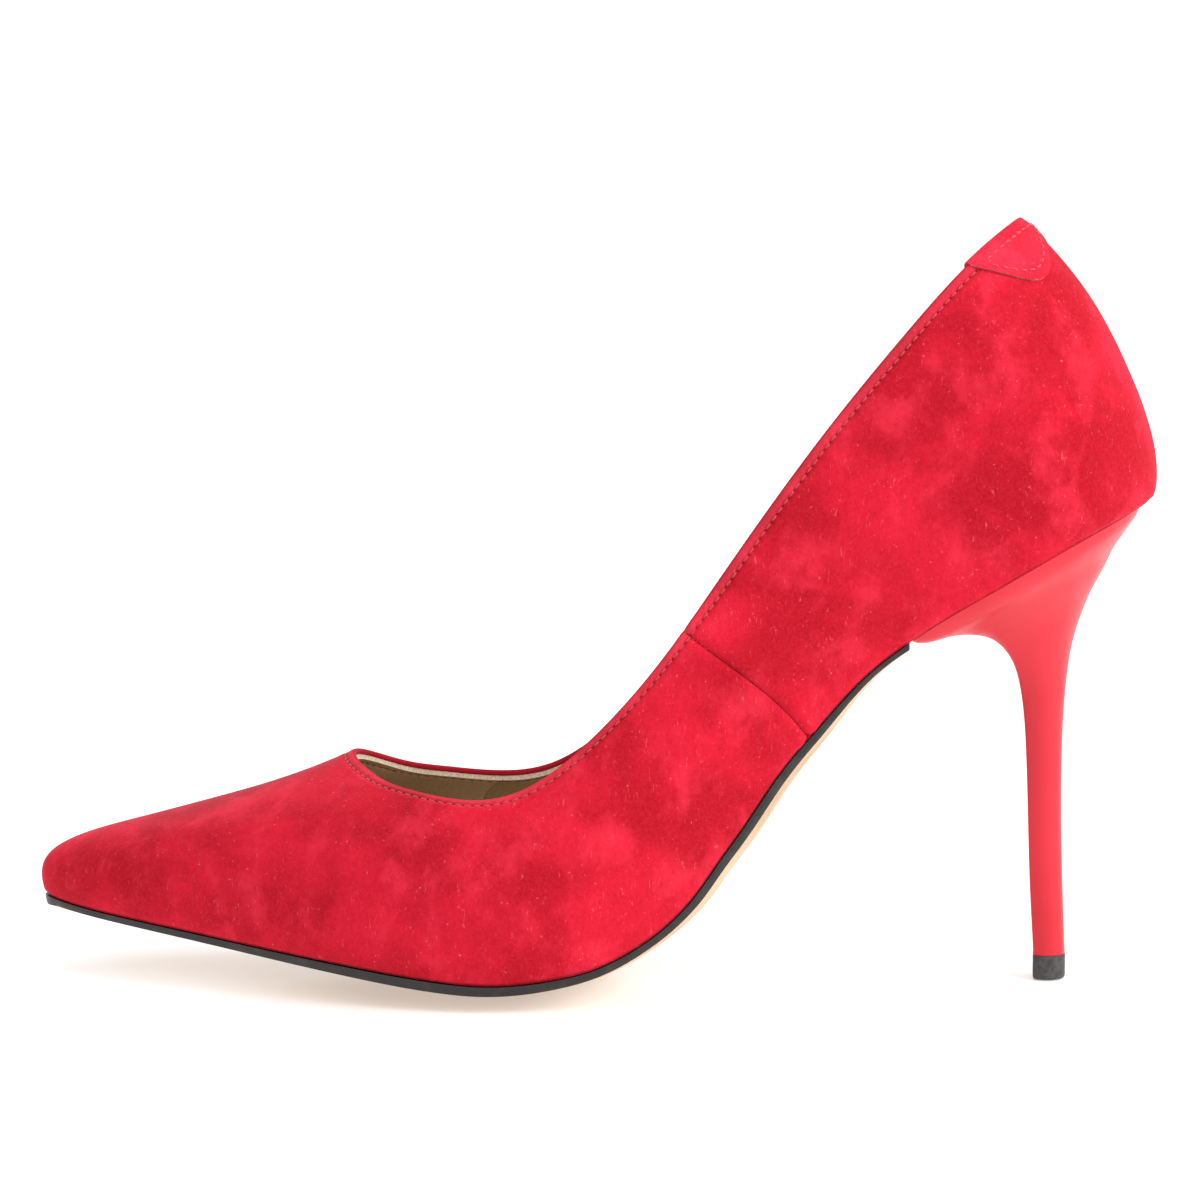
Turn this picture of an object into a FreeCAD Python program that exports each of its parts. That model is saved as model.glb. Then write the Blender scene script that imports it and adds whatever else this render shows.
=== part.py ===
import FreeCAD, Part
import math
import os

os.makedirs("parts", exist_ok=True)
V = FreeCAD.Vector

# ---------------------------------------------------------------------------
# A pointed high heel pump: a left shoe standing on its heel tip and its tread.
# Millimetres. X runs from the toe (-X) to the heel (+X), Y from the outer side
# of the foot (-Y) to the inner side (+Y), Z up from the ground.
# ---------------------------------------------------------------------------

# Driving dimensions
upper_thickness = 1.1
tab_thickness = 0.7
tab_inner_thickness = 0.8
stiffener_thickness = 0.6
lining_thickness = 0.7
glue_gap = 0.05
outsole_gap = 0.15
margin_width = 9.0
board_thickness = 1.2
shank_board_thickness = 1.0
sock_thickness = 0.8
heel_pad_thickness = 1.6
outsole_thickness_tread = 3.0
outsole_thickness_toe = 2.1
outsole_thickness_waist = 3.0
outsole_thickness_lip = 1.5
top_piece_height = 5.4
top_piece_front = 96.5
top_piece_back = 103.4
dowel_radius = 1.9
dowel_bore_radius = 1.3
pin_radius = 1.25
stitch_pitch = 2.1
stitch_radius = 0.2
stitch_inset = 2.4
stitch_cover = 0.74
topline_tilt = 0.055
topline_skew = 0.06

# Depths below the outer skin at which each layer of the upper starts
stiffener_depth = upper_thickness + glue_gap
lining_depth = stiffener_depth + stiffener_thickness + glue_gap
foot_depth = lining_depth + lining_thickness

# Heights above the outsole at which each layer under the foot starts
board_height = foot_depth + glue_gap
shank_step = shank_board_thickness + glue_gap
sock_height = board_height + board_thickness + glue_gap

# ---------------------------------------------------------------------------
# The shape of the shoe. Stations run round each side from the centre of the
# toe (0) to the centre of the back (1). At each station the wall is a cubic
# curve from the feather edge, past a low and a high guide, to the topline.
# Each guide point is (x, half width, z); the feather takes z from the bottom.
# ---------------------------------------------------------------------------
station = [0, 0.035, 0.085, 0.175, 0.26, 0.345, 0.45, 0.585, 0.72, 0.835, 0.925, 1]
feather = [
    (-121.1, 0), (-117.8, 4.6), (-104, 12), (-74, 23.5), (-44, 33), (-15, 36),
    (17, 29.5), (43, 22.8), (68, 21.4), (92, 23), (111.0, 16.8), (120.8, 0),
]
low_guide = [
    (-127.6, 0, 33.6), (-123, 9.5, 31.5), (-108.5, 19, 27.5), (-78.5, 29, 24.5),
    (-46, 38, 22), (-14, 41, 22), (15, 34.5, 32), (42.5, 28, 65),
    (67, 28, 89), (93, 30, 104), (116, 23, 112), (126.2, 0, 115.8),
]
high_guide = [
    (-98, 0, 28.4), (-94.5, 11.5, 29.8), (-82, 21, 34), (-59.5, 26.5, 37.5),
    (-35, 33, 37.5), (-12, 35, 38), (12, 33, 51), (36, 28.5, 81.5),
    (58.5, 28, 108.5), (83, 25.5, 131), (101, 18.6, 147.6), (108.2, 0, 155.6),
]
topline = [
    (-51.2, 0, 50.2), (-49.6, 7.5, 49.2), (-44, 15, 46.5), (-34.5, 22.3, 44.2),
    (-22, 26.8, 43), (-8, 27.6, 46.8), (11.5, 26.7, 64.4), (30.5, 24.6, 90.2),
    (51, 22.6, 119.3), (69.2, 19.3, 142.2), (83.6, 12.6, 158.4), (91.6, 0, 165.4),
]

# Height of the middle of the last's underside above the ground, along X
bottom_x = [-124, -113, -100, -84, -65, -47, -29, -20, -12, -4, 4, 12.5, 21, 25,
            29, 34, 42, 50, 58.5, 68, 88, 109.6, 124]
bottom_z = [16.6, 14.6, 12.7, 10.5, 8, 5.7, 3.4, 2.8, 3.2, 4.4, 6.5, 10.8, 17.6, 22.3,
            28.1, 35.2, 47.2, 57, 66.6, 74.4, 86.4, 99.4, 107.5]
# How strongly the underside curves up towards its sides, along X
crown_x = [-124, -84, -47, -20, 4, 25, 43, 60, 80, 100, 124]
crown_z = [0.003, 0.003, 0.0024, 0.0024, 0.0025, 0.0031, 0.0036, 0.0034, 0.0042, 0.0044, 0.0044]
# Sideways swing of the middle line, along X
swing_x = [-124, -85, -60, -38, -20, -5, 12, 30, 50, 70, 90, 124]
swing_y = [7.6, 5.8, 2.6, 0.5, -0.2, 0.4, 2.2, 4.4, 6.8, 8.8, 9.9, 10.2]


def second_derivatives(xs, ys):
    """Second derivatives of the natural cubic spline through the points."""
    count = len(xs)
    upper = [0.0] * count
    right = [0.0] * count
    for i in range(1, count - 1):
        before = xs[i] - xs[i - 1]
        after = xs[i + 1] - xs[i]
        pull = 6 * ((ys[i + 1] - ys[i]) / after - (ys[i] - ys[i - 1]) / before)
        pivot = 2 * (before + after) - before * upper[i - 1]
        upper[i] = after / pivot
        right[i] = (pull - before * right[i - 1]) / pivot
    bends = [0.0] * count
    for i in range(count - 2, 0, -1):
        bends[i] = right[i] - upper[i] * bends[i + 1]
    return bends


class Spline:
    """A smooth curve y(x) through the given points, straight beyond them."""

    def __init__(self, xs, ys):
        self.xs = list(xs)
        self.ys = list(ys)
        self.bends = second_derivatives(self.xs, self.ys)

    def __call__(self, x):
        xs, ys, bends = self.xs, self.ys, self.bends
        last = len(xs) - 2
        i = 0
        while i < last and x > xs[i + 1]:
            i += 1
        step = xs[i + 1] - xs[i]
        right = (x - xs[i]) / step
        left = 1 - right
        cubic = (left ** 3 - left) * bends[i] + (right ** 3 - right) * bends[i + 1]
        return left * ys[i] + right * ys[i + 1] + cubic * step * step / 6


def mirrored(values, odd):
    """Station values carried on past both centre lines, so they join smoothly."""
    sign = -1 if odd else 1
    ahead = [sign * value for value in values[3:0:-1]]
    behind = [sign * value for value in values[-2:-5:-1]]
    return ahead + list(values) + behind


station_all = [-s for s in station[3:0:-1]] + station + [2 - s for s in station[-2:-5:-1]]


def guide_curve(points):
    """Curves for x, half width and z of one guide, as functions of the station."""
    curves = []
    for axis in range(len(points[0])):
        values = [point[axis] for point in points]
        curves.append(Spline(station_all, mirrored(values, axis == 1)))
    return curves


bottom_curve = Spline(bottom_x, bottom_z)
crown_curve = Spline(crown_x, crown_z)
swing_curve = Spline(swing_x, swing_y)
feather_curves = guide_curve(feather)
guide_curves = [guide_curve(low_guide), guide_curve(high_guide), guide_curve(topline)]


def bottom(x, y):
    """Height of the lasted underside, which is also the top of the outsole."""
    return bottom_curve(x) + crown_curve(x) * (y - swing_curve(x)) ** 2


def slope_cosine(x):
    """Cosine of the fore and aft slope of the underside."""
    rise = bottom_curve(x + 0.5) - bottom_curve(x - 0.5)
    return 1 / math.sqrt(1 + rise * rise)


def split_side(t):
    """Station and side (-1 outer, +1 inner) of a position t round the shoe."""
    if t > 1:
        t -= 2
    if t < -1:
        t += 2
    return abs(t), (-1 if t < 0 else 1)


def feather_point(t):
    """Point on the feather edge, where the upper turns under."""
    u, side = split_side(t)
    x = feather_curves[0](u)
    y = swing_curve(x) + side * feather_curves[1](u)
    return V(x, y, bottom(x, y))


def skin(t, v):
    """Point of the outer skin: v is 0 at the feather edge and 1 at the topline."""
    u, side = split_side(t)
    start = feather_point(t)
    blend = [(1 - v) ** 3, 3 * v * (1 - v) ** 2, 3 * v * v * (1 - v), v ** 3]
    x = blend[0] * start.x
    z = blend[0] * start.z
    width = blend[0] * feather_curves[1](u)
    for weight, curves in zip(blend[1:], guide_curves):
        x += weight * curves[0](u)
        width += weight * curves[1](u)
        z += weight * curves[2](u)
    lean = side * width * v * v
    x += topline_skew * lean
    z -= topline_tilt * lean
    return V(x, swing_curve(x) + side * width, z)


def skin_normal(t, v):
    """Outward unit normal of the skin."""
    step = 0.002
    low = max(v - step, 0)
    high = min(v + step, 1)
    along = skin(t + step, v) - skin(t - step, v)
    up = skin(t, high) - skin(t, low)
    normal = up.cross(along)
    return normal.normalize()


def layer(t, v, depth):
    """Point at a depth below the skin. A negative depth is outside the skin."""
    point = skin(t, v) - skin_normal(t, v) * depth
    if v < 0.04:
        point.z += max(depth, 0) * (1 - v / 0.04)
    return point


def tuck(t, fraction, depth):
    """Point of the lasting margin, turned inwards under the insole."""
    u, side = split_side(t)
    edge = layer(t, 0, depth)
    reach = (margin_width - depth) * fraction
    x = edge.x + reach * math.cos(math.pi * u)
    y = edge.y - side * reach * math.sin(math.pi * u)
    rise = depth / slope_cosine(x)
    start_gap = edge.z - bottom(edge.x, edge.y) - depth / slope_cosine(edge.x)
    return V(x, y, bottom(x, y) + rise + start_gap * (1 - fraction))


# ---------------------------------------------------------------------------
# Faces and solids
# ---------------------------------------------------------------------------
def spline_poles(points):
    """Poles of the even cubic spline curve through the points."""
    count = len(points)
    places = list(range(count))
    bends = []
    for axis in range(3):
        bends.append(second_derivatives(places, [p[axis] for p in points]))
    curve = [V(bends[0][i], bends[1][i], bends[2][i]) for i in range(count)]
    first = points[1] - points[0] - curve[1] * (1 / 6)
    last = points[-1] - points[-2] + curve[-2] * (1 / 6)
    middle = [points[i] - curve[i] * (1 / 6) for i in range(1, count - 1)]
    ends = [points[0], points[0] + first * (1 / 3)]
    return ends + middle + [points[-1] - last * (1 / 3), points[-1]]


def knots_for(count):
    """Knots and multiplicities of an even cubic spline through count points."""
    return list(range(count)), [4] + [1] * (count - 2) + [4]


def grid_face(grid):
    """Smooth face through a rectangular grid of points."""
    rows = [spline_poles(row) for row in grid]
    columns = [spline_poles([row[j] for row in rows]) for j in range(len(rows[0]))]
    poles = [[column[i] for column in columns] for i in range(len(columns[0]))]
    row_knots, row_mults = knots_for(len(grid))
    col_knots, col_mults = knots_for(len(grid[0]))
    surface = Part.BSplineSurface()
    surface.buildFromPolesMultsKnots(
        poles, row_mults, col_mults, row_knots, col_knots, False, False, 3, 3)
    return surface.toShape()


def strip_face(first, second):
    """Ruled face between two rows of points of the same length."""
    poles = [spline_poles(first), spline_poles(second)]
    knots, mults = knots_for(len(first))
    surface = Part.BSplineSurface()
    surface.buildFromPolesMultsKnots(poles, [2, 2], mults, [0, 1], knots, False, False, 1, 3)
    return surface.toShape()


def solid_from(faces):
    """Closed solid from faces that share their edges."""
    shell = Part.makeShell(faces)
    shell.sewShape()
    if shell.ShapeType != "Shell":
        shell = shell.Shells[0]
    solid = Part.makeSolid(shell)
    if solid.Volume < 0:
        solid.reverse()
    return solid


def side_strips(outer, inner):
    """The four strips that close the gap between two grids."""
    first_columns = [row[0] for row in outer], [row[0] for row in inner]
    last_columns = [row[-1] for row in outer], [row[-1] for row in inner]
    return [
        strip_face(outer[0], inner[0]),
        strip_face(outer[-1], inner[-1]),
        strip_face(*first_columns),
        strip_face(*last_columns),
    ]


def slab(outer, inner):
    """Solid between two grids of points."""
    return solid_from([grid_face(outer), grid_face(inner)] + side_strips(outer, inner))


def spread(start, end, count):
    """Evenly spaced numbers from start to end."""
    return [start + (end - start) * i / (count - 1) for i in range(count)]


def stations_between(start, end, count):
    """Positions round the shoe, closer together at the toe and at the back."""
    def crowd(p):
        return p - 0.6 * math.sin(2 * math.pi * p) / (2 * math.pi)

    def uncrowd(u):
        low, high = -1.5, 1.5
        for _ in range(40):
            middle = (low + high) / 2
            low, high = (middle, high) if crowd(middle) < u else (low, middle)
        return low
    return [crowd(p) for p in spread(uncrowd(start), uncrowd(end), count)]


def wall_piece(left, right, low, high, depth, thickness, columns, rows, margin):
    """Piece of the upper between two lines across the wall.

    left and right give the position round the shoe as a function of v, low and
    high give v as a function of the position. margin adds the part turned under.
    """
    def wall(at_depth):
        grid = []
        places = stations_between(left(0.5), right(0.5), columns)
        span = right(0.5) - left(0.5)
        for place in places:
            p = (place - left(0.5)) / span
            column = []
            for q in spread(0, 1, rows):
                v_guess = low(place) + (high(place) - low(place)) * q
                t = left(v_guess) + (right(v_guess) - left(v_guess)) * p
                column.append(layer(t, v_guess, at_depth))
            grid.append(column)
        return grid

    outer = wall(depth)
    inner = wall(depth + thickness)
    if not margin:
        return slab(outer, inner)

    def turned(at_depth):
        grid = []
        span = right(0) - left(0)
        for place in stations_between(left(0.5), right(0.5), columns):
            p = (place - left(0.5)) / (right(0.5) - left(0.5))
            t = left(0) + span * p
            grid.append([tuck(t, f, at_depth) for f in spread(0, 1, 5)])
        return grid

    under = turned(depth)
    over = turned(depth + thickness)
    for k in range(len(outer)):
        under[k][0] = outer[k][0]
        over[k][0] = inner[k][0]
    faces = [grid_face(outer), grid_face(inner), grid_face(under), grid_face(over)]
    faces += [
        strip_face([c[-1] for c in outer], [c[-1] for c in inner]),
        strip_face([c[-1] for c in under], [c[-1] for c in over]),
        strip_face(outer[0], inner[0]),
        strip_face(outer[-1], inner[-1]),
        strip_face(under[0], over[0]),
        strip_face(under[-1], over[-1]),
    ]
    return solid_from(faces)


def steady(value):
    """A line at a fixed value."""
    return lambda _: value


def patch_grid(edge, height, toe_t, heel_t, toe_arc, heel_arc, rows, columns):
    """Grid over the sole inside an edge line.

    edge(t) gives the plan position of the edge, height(x, c) the height above
    the underside, where c is -1 on the outer edge and 1 on the inner edge.
    """
    def end_line(t, arc, through_back):
        points = []
        for c in spread(-1, 1, columns):
            if arc and through_back:
                reach = 1 - (1 - t) * abs(c)
                points.append(edge(math.copysign(reach, c)))
            elif arc:
                points.append(edge(t * c))
            else:
                points.append(edge(-t) + (edge(t) - edge(-t)) * ((c + 1) / 2))
        return points

    front = end_line(toe_t, toe_arc, False)
    rear = end_line(heel_t, heel_arc, True)
    places = stations_between(toe_t, heel_t, rows)
    grid = []
    for i, place in enumerate(places):
        k = i / (rows - 1)
        outer, inner = edge(-place), edge(place)
        row = []
        for j, c in enumerate(spread(-1, 1, columns)):
            m = (c + 1) / 2
            point = outer * (1 - m) + inner * m + front[j] * (1 - k) + rear[j] * k
            point -= (front[0] * (1 - m) + front[-1] * m) * (1 - k)
            point -= (rear[0] * (1 - m) + rear[-1] * m) * k
            lift = height(point.x, c) / slope_cosine(point.x)
            row.append(V(point.x, point.y, bottom(point.x, point.y) + lift))
        grid.append(row)
    return grid


def wall_edge(height, depth):
    """Plan position where the inside of a wall layer stands at a height."""
    def edge(t):
        low, high = 0.0, 0.6
        for _ in range(30):
            v = (low + high) / 2
            point = skin(t, v) - skin_normal(t, v) * depth
            above = (point.z - bottom(point.x, point.y)) * slope_cosine(point.x)
            if above < height(point.x):
                low = v
            else:
                high = v
        return V(point.x, point.y, 0)
    return edge


def inset_edge(distance):
    """Plan position inside the feather edge by a distance."""
    def edge(t):
        point = feather_point(t)
        along = feather_point(t + 0.002) - feather_point(t - 0.002)
        outward = V(-along.y, along.x, 0).normalize()
        return V(point.x, point.y, 0) - outward * distance
    return edge


def smooth_step(x, start, end):
    """Rises smoothly from 0 at start to 1 at end."""
    k = min(max((x - start) / (end - start), 0), 1)
    return k * k * (3 - 2 * k)


def cylinder(base, direction, radius, length):
    """Round bar from a base point."""
    return Part.makeCylinder(radius, length, base, direction)


# ---------------------------------------------------------------------------
# The upper and its lining
# ---------------------------------------------------------------------------
seam_gap = 0.0012


def side_seam(v):
    """Position of the seam between vamp and quarter."""
    return 0.614 - 0.086 * v


def lining_seam(v):
    """Position of the seam between vamp lining and quarter lining."""
    return 0.34 - 0.085 * v


def make_vamp():
    left = lambda v: -side_seam(v) + seam_gap
    right = lambda v: side_seam(v) - seam_gap
    return wall_piece(left, right, steady(0), steady(1), 0, upper_thickness, 61, 17, True)


def make_quarter(side):
    front = lambda v: side * (side_seam(v) + seam_gap)
    back = steady(side * (1 - seam_gap))
    left, right = (back, front) if side < 0 else (front, back)
    return wall_piece(left, right, steady(0), steady(1), 0, upper_thickness, 31, 17, True)


lining_top = 0.988


def make_vamp_lining():
    left = lambda v: -lining_seam(v) + seam_gap
    right = lambda v: lining_seam(v) - seam_gap
    return wall_piece(left, right, steady(0), steady(lining_top), lining_depth,
                      lining_thickness, 49, 17, True)


def make_quarter_lining(side):
    front = lambda v: side * (lining_seam(v) + seam_gap)
    back = steady(side * (1 - seam_gap))
    left, right = (back, front) if side < 0 else (front, back)
    return wall_piece(left, right, steady(0), steady(lining_top), lining_depth,
                      lining_thickness, 41, 17, True)


def make_toe_puff():
    reach = 0.15
    top = lambda t: 0.42 + 0.26 * (1 - (t / reach) ** 2)
    return wall_piece(steady(-reach), steady(reach), steady(0), top, stiffener_depth,
                      stiffener_thickness, 31, 11, True)


def make_heel_counter():
    reach = 0.25
    top = lambda t: 0.28 + 0.34 * (1 - ((abs(t) - 1) / reach) ** 2)
    halves = []
    for side in (-1, 1):
        ends = steady(side * (1 - seam_gap / 4)), steady(side * (1 - reach))
        left, right = ends if side < 0 else ends[::-1]
        halves.append(wall_piece(left, right, steady(0), top, stiffener_depth,
                                 stiffener_thickness, 21, 11, True))
    return halves


def make_topline_tape():
    return wall_piece(steady(-0.999), steady(0.999), steady(0.93), steady(0.985),
                      stiffener_depth, stiffener_thickness * 0.7, 97, 5, False)


tab_reach = 0.088


def tab_drop(position):
    """How far down the wall the outer flap of the back tab comes: two lobes."""
    p = min(abs(position) / tab_reach, 1)
    lobe = 0.36 + 0.64 * math.sin(math.pi * p ** 1.3)
    return 0.012 + 0.19 * math.sqrt(1 - p ** 4) * lobe


def make_back_tab():
    """Half moon patch folded over the topline at the back, stitched down."""
    outside = -tab_thickness - glue_gap
    inside = foot_depth + tab_inner_thickness

    def ride(position, outer):
        """Section of the tab at one position, from outer edge over to inner edge."""
        t = 1 - abs(position)
        t = t if position > 0 else -t
        drop = tab_drop(position)
        drop_inside = drop * 0.6
        near, far = (outside, inside) if outer else (-glue_gap, foot_depth + glue_gap)
        rise = tab_thickness + glue_gap if outer else glue_gap
        points = [layer(t, 1 - drop * k, near) for k in (1, 0.8, 0.6, 0.4, 0.2, 0)]
        up = (skin(t, 1) - skin(t, 0.98)).normalize()
        for k in (0.25, 0.5, 0.75):
            angle = math.pi * k
            middle = (near + far) / 2
            depth = middle - (middle - near) * math.cos(angle)
            points.append(layer(t, 1, depth) + up * (rise * math.sin(angle)))
        points += [layer(t, 1 - drop_inside * k, far) for k in (0, 0.25, 0.5, 0.75, 1)]
        return points

    places = spread(-tab_reach, tab_reach, 41)
    outer = [ride(place, True) for place in places]
    inner = [ride(place, False) for place in places]
    return slab(outer, inner)


# ---------------------------------------------------------------------------
# Everything under the foot
# ---------------------------------------------------------------------------
def board_base(x):
    """Height of the insole's underside: it steps up over the shank board."""
    return board_height + shank_step * smooth_step(x, -18, -2)


def sock_base(x):
    """Height of the sock's underside, raised over the heel pad."""
    pad = (heel_pad_thickness + glue_gap) * smooth_step(x, 56, 66)
    return board_base(x) + board_thickness + glue_gap + pad


def sheet(low, high, depth, toe_t, heel_t, toe_arc, heel_arc, rows, columns):
    """Sheet under the foot that reaches the walls, between two heights."""
    under = patch_grid(wall_edge(low, depth), lambda x, c: low(x), toe_t, heel_t,
                       toe_arc, heel_arc, rows, columns)
    over = patch_grid(wall_edge(high, depth), lambda x, c: high(x), toe_t, heel_t,
                      toe_arc, heel_arc, rows, columns)
    return slab(over, under)


def make_insole_board():
    low = board_base
    high = lambda x: board_base(x) + board_thickness
    return sheet(low, high, foot_depth + glue_gap, 0.035, 0.93, True, True, 61, 13)


def make_shank_board():
    low = steady(board_height)
    high = steady(board_height + shank_board_thickness)
    return sheet(low, high, foot_depth + glue_gap, 0.4, 0.93, False, True, 41, 13)


def make_sock_lining():
    high = lambda x: sock_base(x) + sock_thickness
    return sheet(sock_base, high, foot_depth + glue_gap, 0.035, 0.93, True, True, 61, 13)


def make_heel_pad():
    low = lambda x: board_base(x) + board_thickness + glue_gap
    high = lambda x: low(x) + heel_pad_thickness
    return sheet(low, high, foot_depth + 1.5, 0.735, 0.93, False, True, 25, 13)


def make_bottom_filler():
    edge = inset_edge(margin_width + 0.4)
    low = patch_grid(edge, lambda x, c: glue_gap, 0.13, 0.395, False, False, 31, 9)
    high = patch_grid(edge, lambda x, c: board_height - glue_gap, 0.13, 0.395,
                      False, False, 31, 9)
    return slab(high, low)


outsole_thickness = Spline(
    [-124, -70, -40, -5, 20, 52, 66, 74],
    [outsole_thickness_toe, 2.5, outsole_thickness_tread, outsole_thickness_tread, 2.9,
     outsole_thickness_waist, outsole_thickness_lip, 1.2])
# How much thinner the sole is at its edges than in its middle, along X
outsole_thinning = Spline([-124, -70, -30, 0, 30, 52, 68], [0.75, 0.85, 1.0, 1.2, 1.6, 1.55, 0.3])
outsole_end = 0.7255


def make_outsole():
    """Outsole with a bevelled edge, flat where the tread meets the ground."""
    thickness = lambda x, c: outsole_thickness(x) - outsole_thinning(x) * c * c
    over = patch_grid(inset_edge(-0.15), lambda x, c: -outsole_gap, 0.035, outsole_end,
                      True, False, 61, 13)
    under = patch_grid(inset_edge(0.25), lambda x, c: -outsole_gap - thickness(x, c), 0.035,
                       outsole_end, True, False, 61, 13)
    sole = slab(over, under)
    above_ground = Part.makeBox(260, 120, 120, V(-130, -60, 0))
    return sole.common(above_ground).Solids[0]


def on_middle(x, y_offset, height):
    """Point at a height above the underside, near the middle line."""
    y = swing_curve(x) + y_offset
    return V(x, y, bottom(x, y) + height / slope_cosine(x))


def seat_down(x):
    """Unit direction straight down into the sole, square to its slope."""
    cosine = slope_cosine(x)
    return V(math.sqrt(1 - cosine * cosine), 0, -cosine)


shank_start_x = 3
shank_end_x = 88
shank_half_width = 6
shank_bottom = 0.45
shank_thickness = 1.5
rivet_places = (9, 81)
rivet_radius = 1.5


def make_steel_shank():
    """Spring steel strip along the waist, with a flute down its middle."""
    def surface(height):
        grid = []
        for x in spread(shank_start_x, shank_end_x, 31):
            row = []
            for c in spread(-1, 1, 9):
                flute = 0.35 * math.exp(-((c / 0.35) ** 2))
                row.append(on_middle(x, c * shank_half_width, height + flute))
            grid.append(row)
        return grid
    return slab(surface(shank_bottom + shank_thickness), surface(shank_bottom))


def rivet(x, radius, head_radius):
    """Rivet through the steel shank and the shank board."""
    top = on_middle(x, 0, board_height + shank_board_thickness)
    length = board_height + shank_board_thickness - 0.3
    body = cylinder(top, seat_down(x), radius, length)
    head_base = on_middle(x, 0, 0.4)
    head = cylinder(head_base, seat_down(x), head_radius, 0.3)
    return body.fuse(head).removeSplitter()


# ---------------------------------------------------------------------------
# The heel
# ---------------------------------------------------------------------------
# Sections from the seat down to the tip: front x and z, back x and z, half width
heel_sections = [
    (67.0, 84.0, 115.6, 113.0, 22.9),
    (67.9, 79.8, 118.5, 107.0, 22.8),
    (68.8, 76.9, 118.3, 103.4, 22.3),
    (71.6, 76.0, 117.0, 101.2, 21.0),
    (76.9, 77.0, 114.8, 98.0, 18.7),
    (82.2, 77.2, 112.7, 94.8, 16.2),
    (86.3, 76.1, 110.8, 90.7, 13.4),
    (89.2, 73.7, 108.5, 86.4, 10.9),
    (91.5, 69.9, 106.2, 80.9, 8.8),
    (92.9, 64.9, 104.3, 74.6, 7.0),
    (93.8, 58.5, 103.1, 67.0, 5.7),
    (94.4, 50.0, 102.4, 57.0, 4.7),
    (94.9, 38.0, 102.2, 42.0, 4.0),
    (95.5, 22.0, 102.6, 24.0, 3.8),
    (96.5, 5.45, 103.4, 5.45, 3.9),
]
heel_axis_y = 10.1
dowel_x = 99.4
dowel_top_z = 76
seat_front_share = 0.93
stem_front_share = 0.72
widest_share = 0.42


def d_outline(front, back, half_width, front_share, count):
    """D shaped section: from one front corner round the back to the other."""
    points = []
    along = back - front
    for s in spread(-1, 1, count):
        p = abs(s)
        if p < 0.6:
            angle = p / 0.6 * math.pi / 2
            a = widest_share + (1 - widest_share) * math.cos(angle)
            reach = math.sin(angle)
        else:
            k = (p - 0.6) / 0.4
            a = widest_share * (1 - k)
            reach = 1 - (1 - front_share) * k * k
        point = front + along * a
        side = math.copysign(half_width * reach, s)
        points.append(V(point.x, swing_curve(point.x) + side, point.z))
    return points


def heel_rows(count):
    """Smoothly spaced sections of the heel, from above the seat to the tip."""
    places = [0.0]
    for above, below in zip(heel_sections, heel_sections[1:]):
        front_step = math.hypot(below[0] - above[0], below[1] - above[1])
        back_step = math.hypot(below[2] - above[2], below[3] - above[3])
        places.append(places[-1] + (front_step + back_step) / 2)
    curves = [Spline(places, [section[k] for section in heel_sections]) for k in range(5)]
    rows = []
    for place in spread(0, places[-1], count):
        fx, fz, bx, bz, width = [curve(place) for curve in curves]
        k = smooth_step(place, 8, 45)
        share = seat_front_share + (stem_front_share - seat_front_share) * k
        rows.append(d_outline(V(fx, 0, fz), V(bx, 0, bz), width, share, 33))
    return rows


def straight(first, last, count):
    """Evenly spaced points on a line."""
    return [first + (last - first) * k for k in spread(0, 1, count)]


def d_cap(row):
    """Flat face closing a D shaped section."""
    poles = spline_poles(row)
    knots, mults = knots_for(len(row))
    outline = Part.BSplineCurve()
    outline.buildFromPolesMultsKnots(poles, mults, knots, False, 3)
    front = Part.makeLine(row[-1], row[0])
    return Part.Face(Part.Wire([outline.toShape(), front]))


def d_solid(rows):
    """Solid through a stack of D shaped sections."""
    wall = grid_face(rows) if len(rows) > 3 else None
    faces = [wall] if wall else [strip_face(a, b) for a, b in zip(rows, rows[1:])]
    fronts = [straight(row[-1], row[0], 2) for row in rows]
    if wall:
        faces.append(strip_face([f[0] for f in fronts], [f[1] for f in fronts]))
    else:
        for upper, lower in zip(fronts, fronts[1:]):
            faces.append(Part.makeRuledSurface(Part.makeLine(*upper), Part.makeLine(*lower)))
    faces += [d_cap(rows[0]), d_cap(rows[-1])]
    return solid_from(faces)


def above_seat():
    """Everything above the underside in the heel region, used to trim the heel."""
    def surface(height):
        return [[on_middle(x, y, height) for y in spread(-40, 40, 13)]
                for x in spread(52, 132, 25)]
    return slab(surface(30), surface(-glue_gap))


def seat_fastener(x, y_offset, radius, head_radius, head_thickness, length, extra):
    """Screw or nail driven down through the insole into the heel, or its hole."""
    direction = seat_down(x)
    rise = 2 * head_sink if extra else 0
    board_top = on_middle(x, y_offset, board_base(x) + board_thickness)
    top = board_top + direction * (head_sink - rise)
    head = cylinder(top, direction, head_radius + extra, head_thickness + extra + rise)
    body = cylinder(top, direction, radius + extra, length + extra + rise)
    return head.fuse(body).removeSplitter()


screw_x = 92
screw_length = 14
nail_places = [(84, -9), (84, 9), (98, -7), (98, 7), (101.5, 0)]
nail_length = 9.5
screw_radius = 2.0
nail_radius = 0.8
screw_head_radius = 4.2
screw_head_thickness = 0.9
nail_head_radius = 2.0
nail_head_thickness = 0.6
head_sink = 0.25
clearance = 0.05


def make_heel_screw(extra):
    return seat_fastener(screw_x, 0, screw_radius, screw_head_radius, screw_head_thickness,
                         screw_length, extra)


def make_heel_nails(extra):
    return [seat_fastener(x, y, nail_radius, nail_head_radius, nail_head_thickness,
                          nail_length, extra)
            for x, y in nail_places]


def make_heel_block():
    block = d_solid(heel_rows(45)).cut(above_seat())
    bore = cylinder(V(dowel_x, heel_axis_y, 0), V(0, 0, 1), dowel_radius + clearance,
                    dowel_top_z + 0.3)
    block = block.cut(bore)
    for tool in [make_heel_screw(clearance)] + make_heel_nails(clearance):
        block = block.cut(tool)
    return block.Solids[0]


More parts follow.
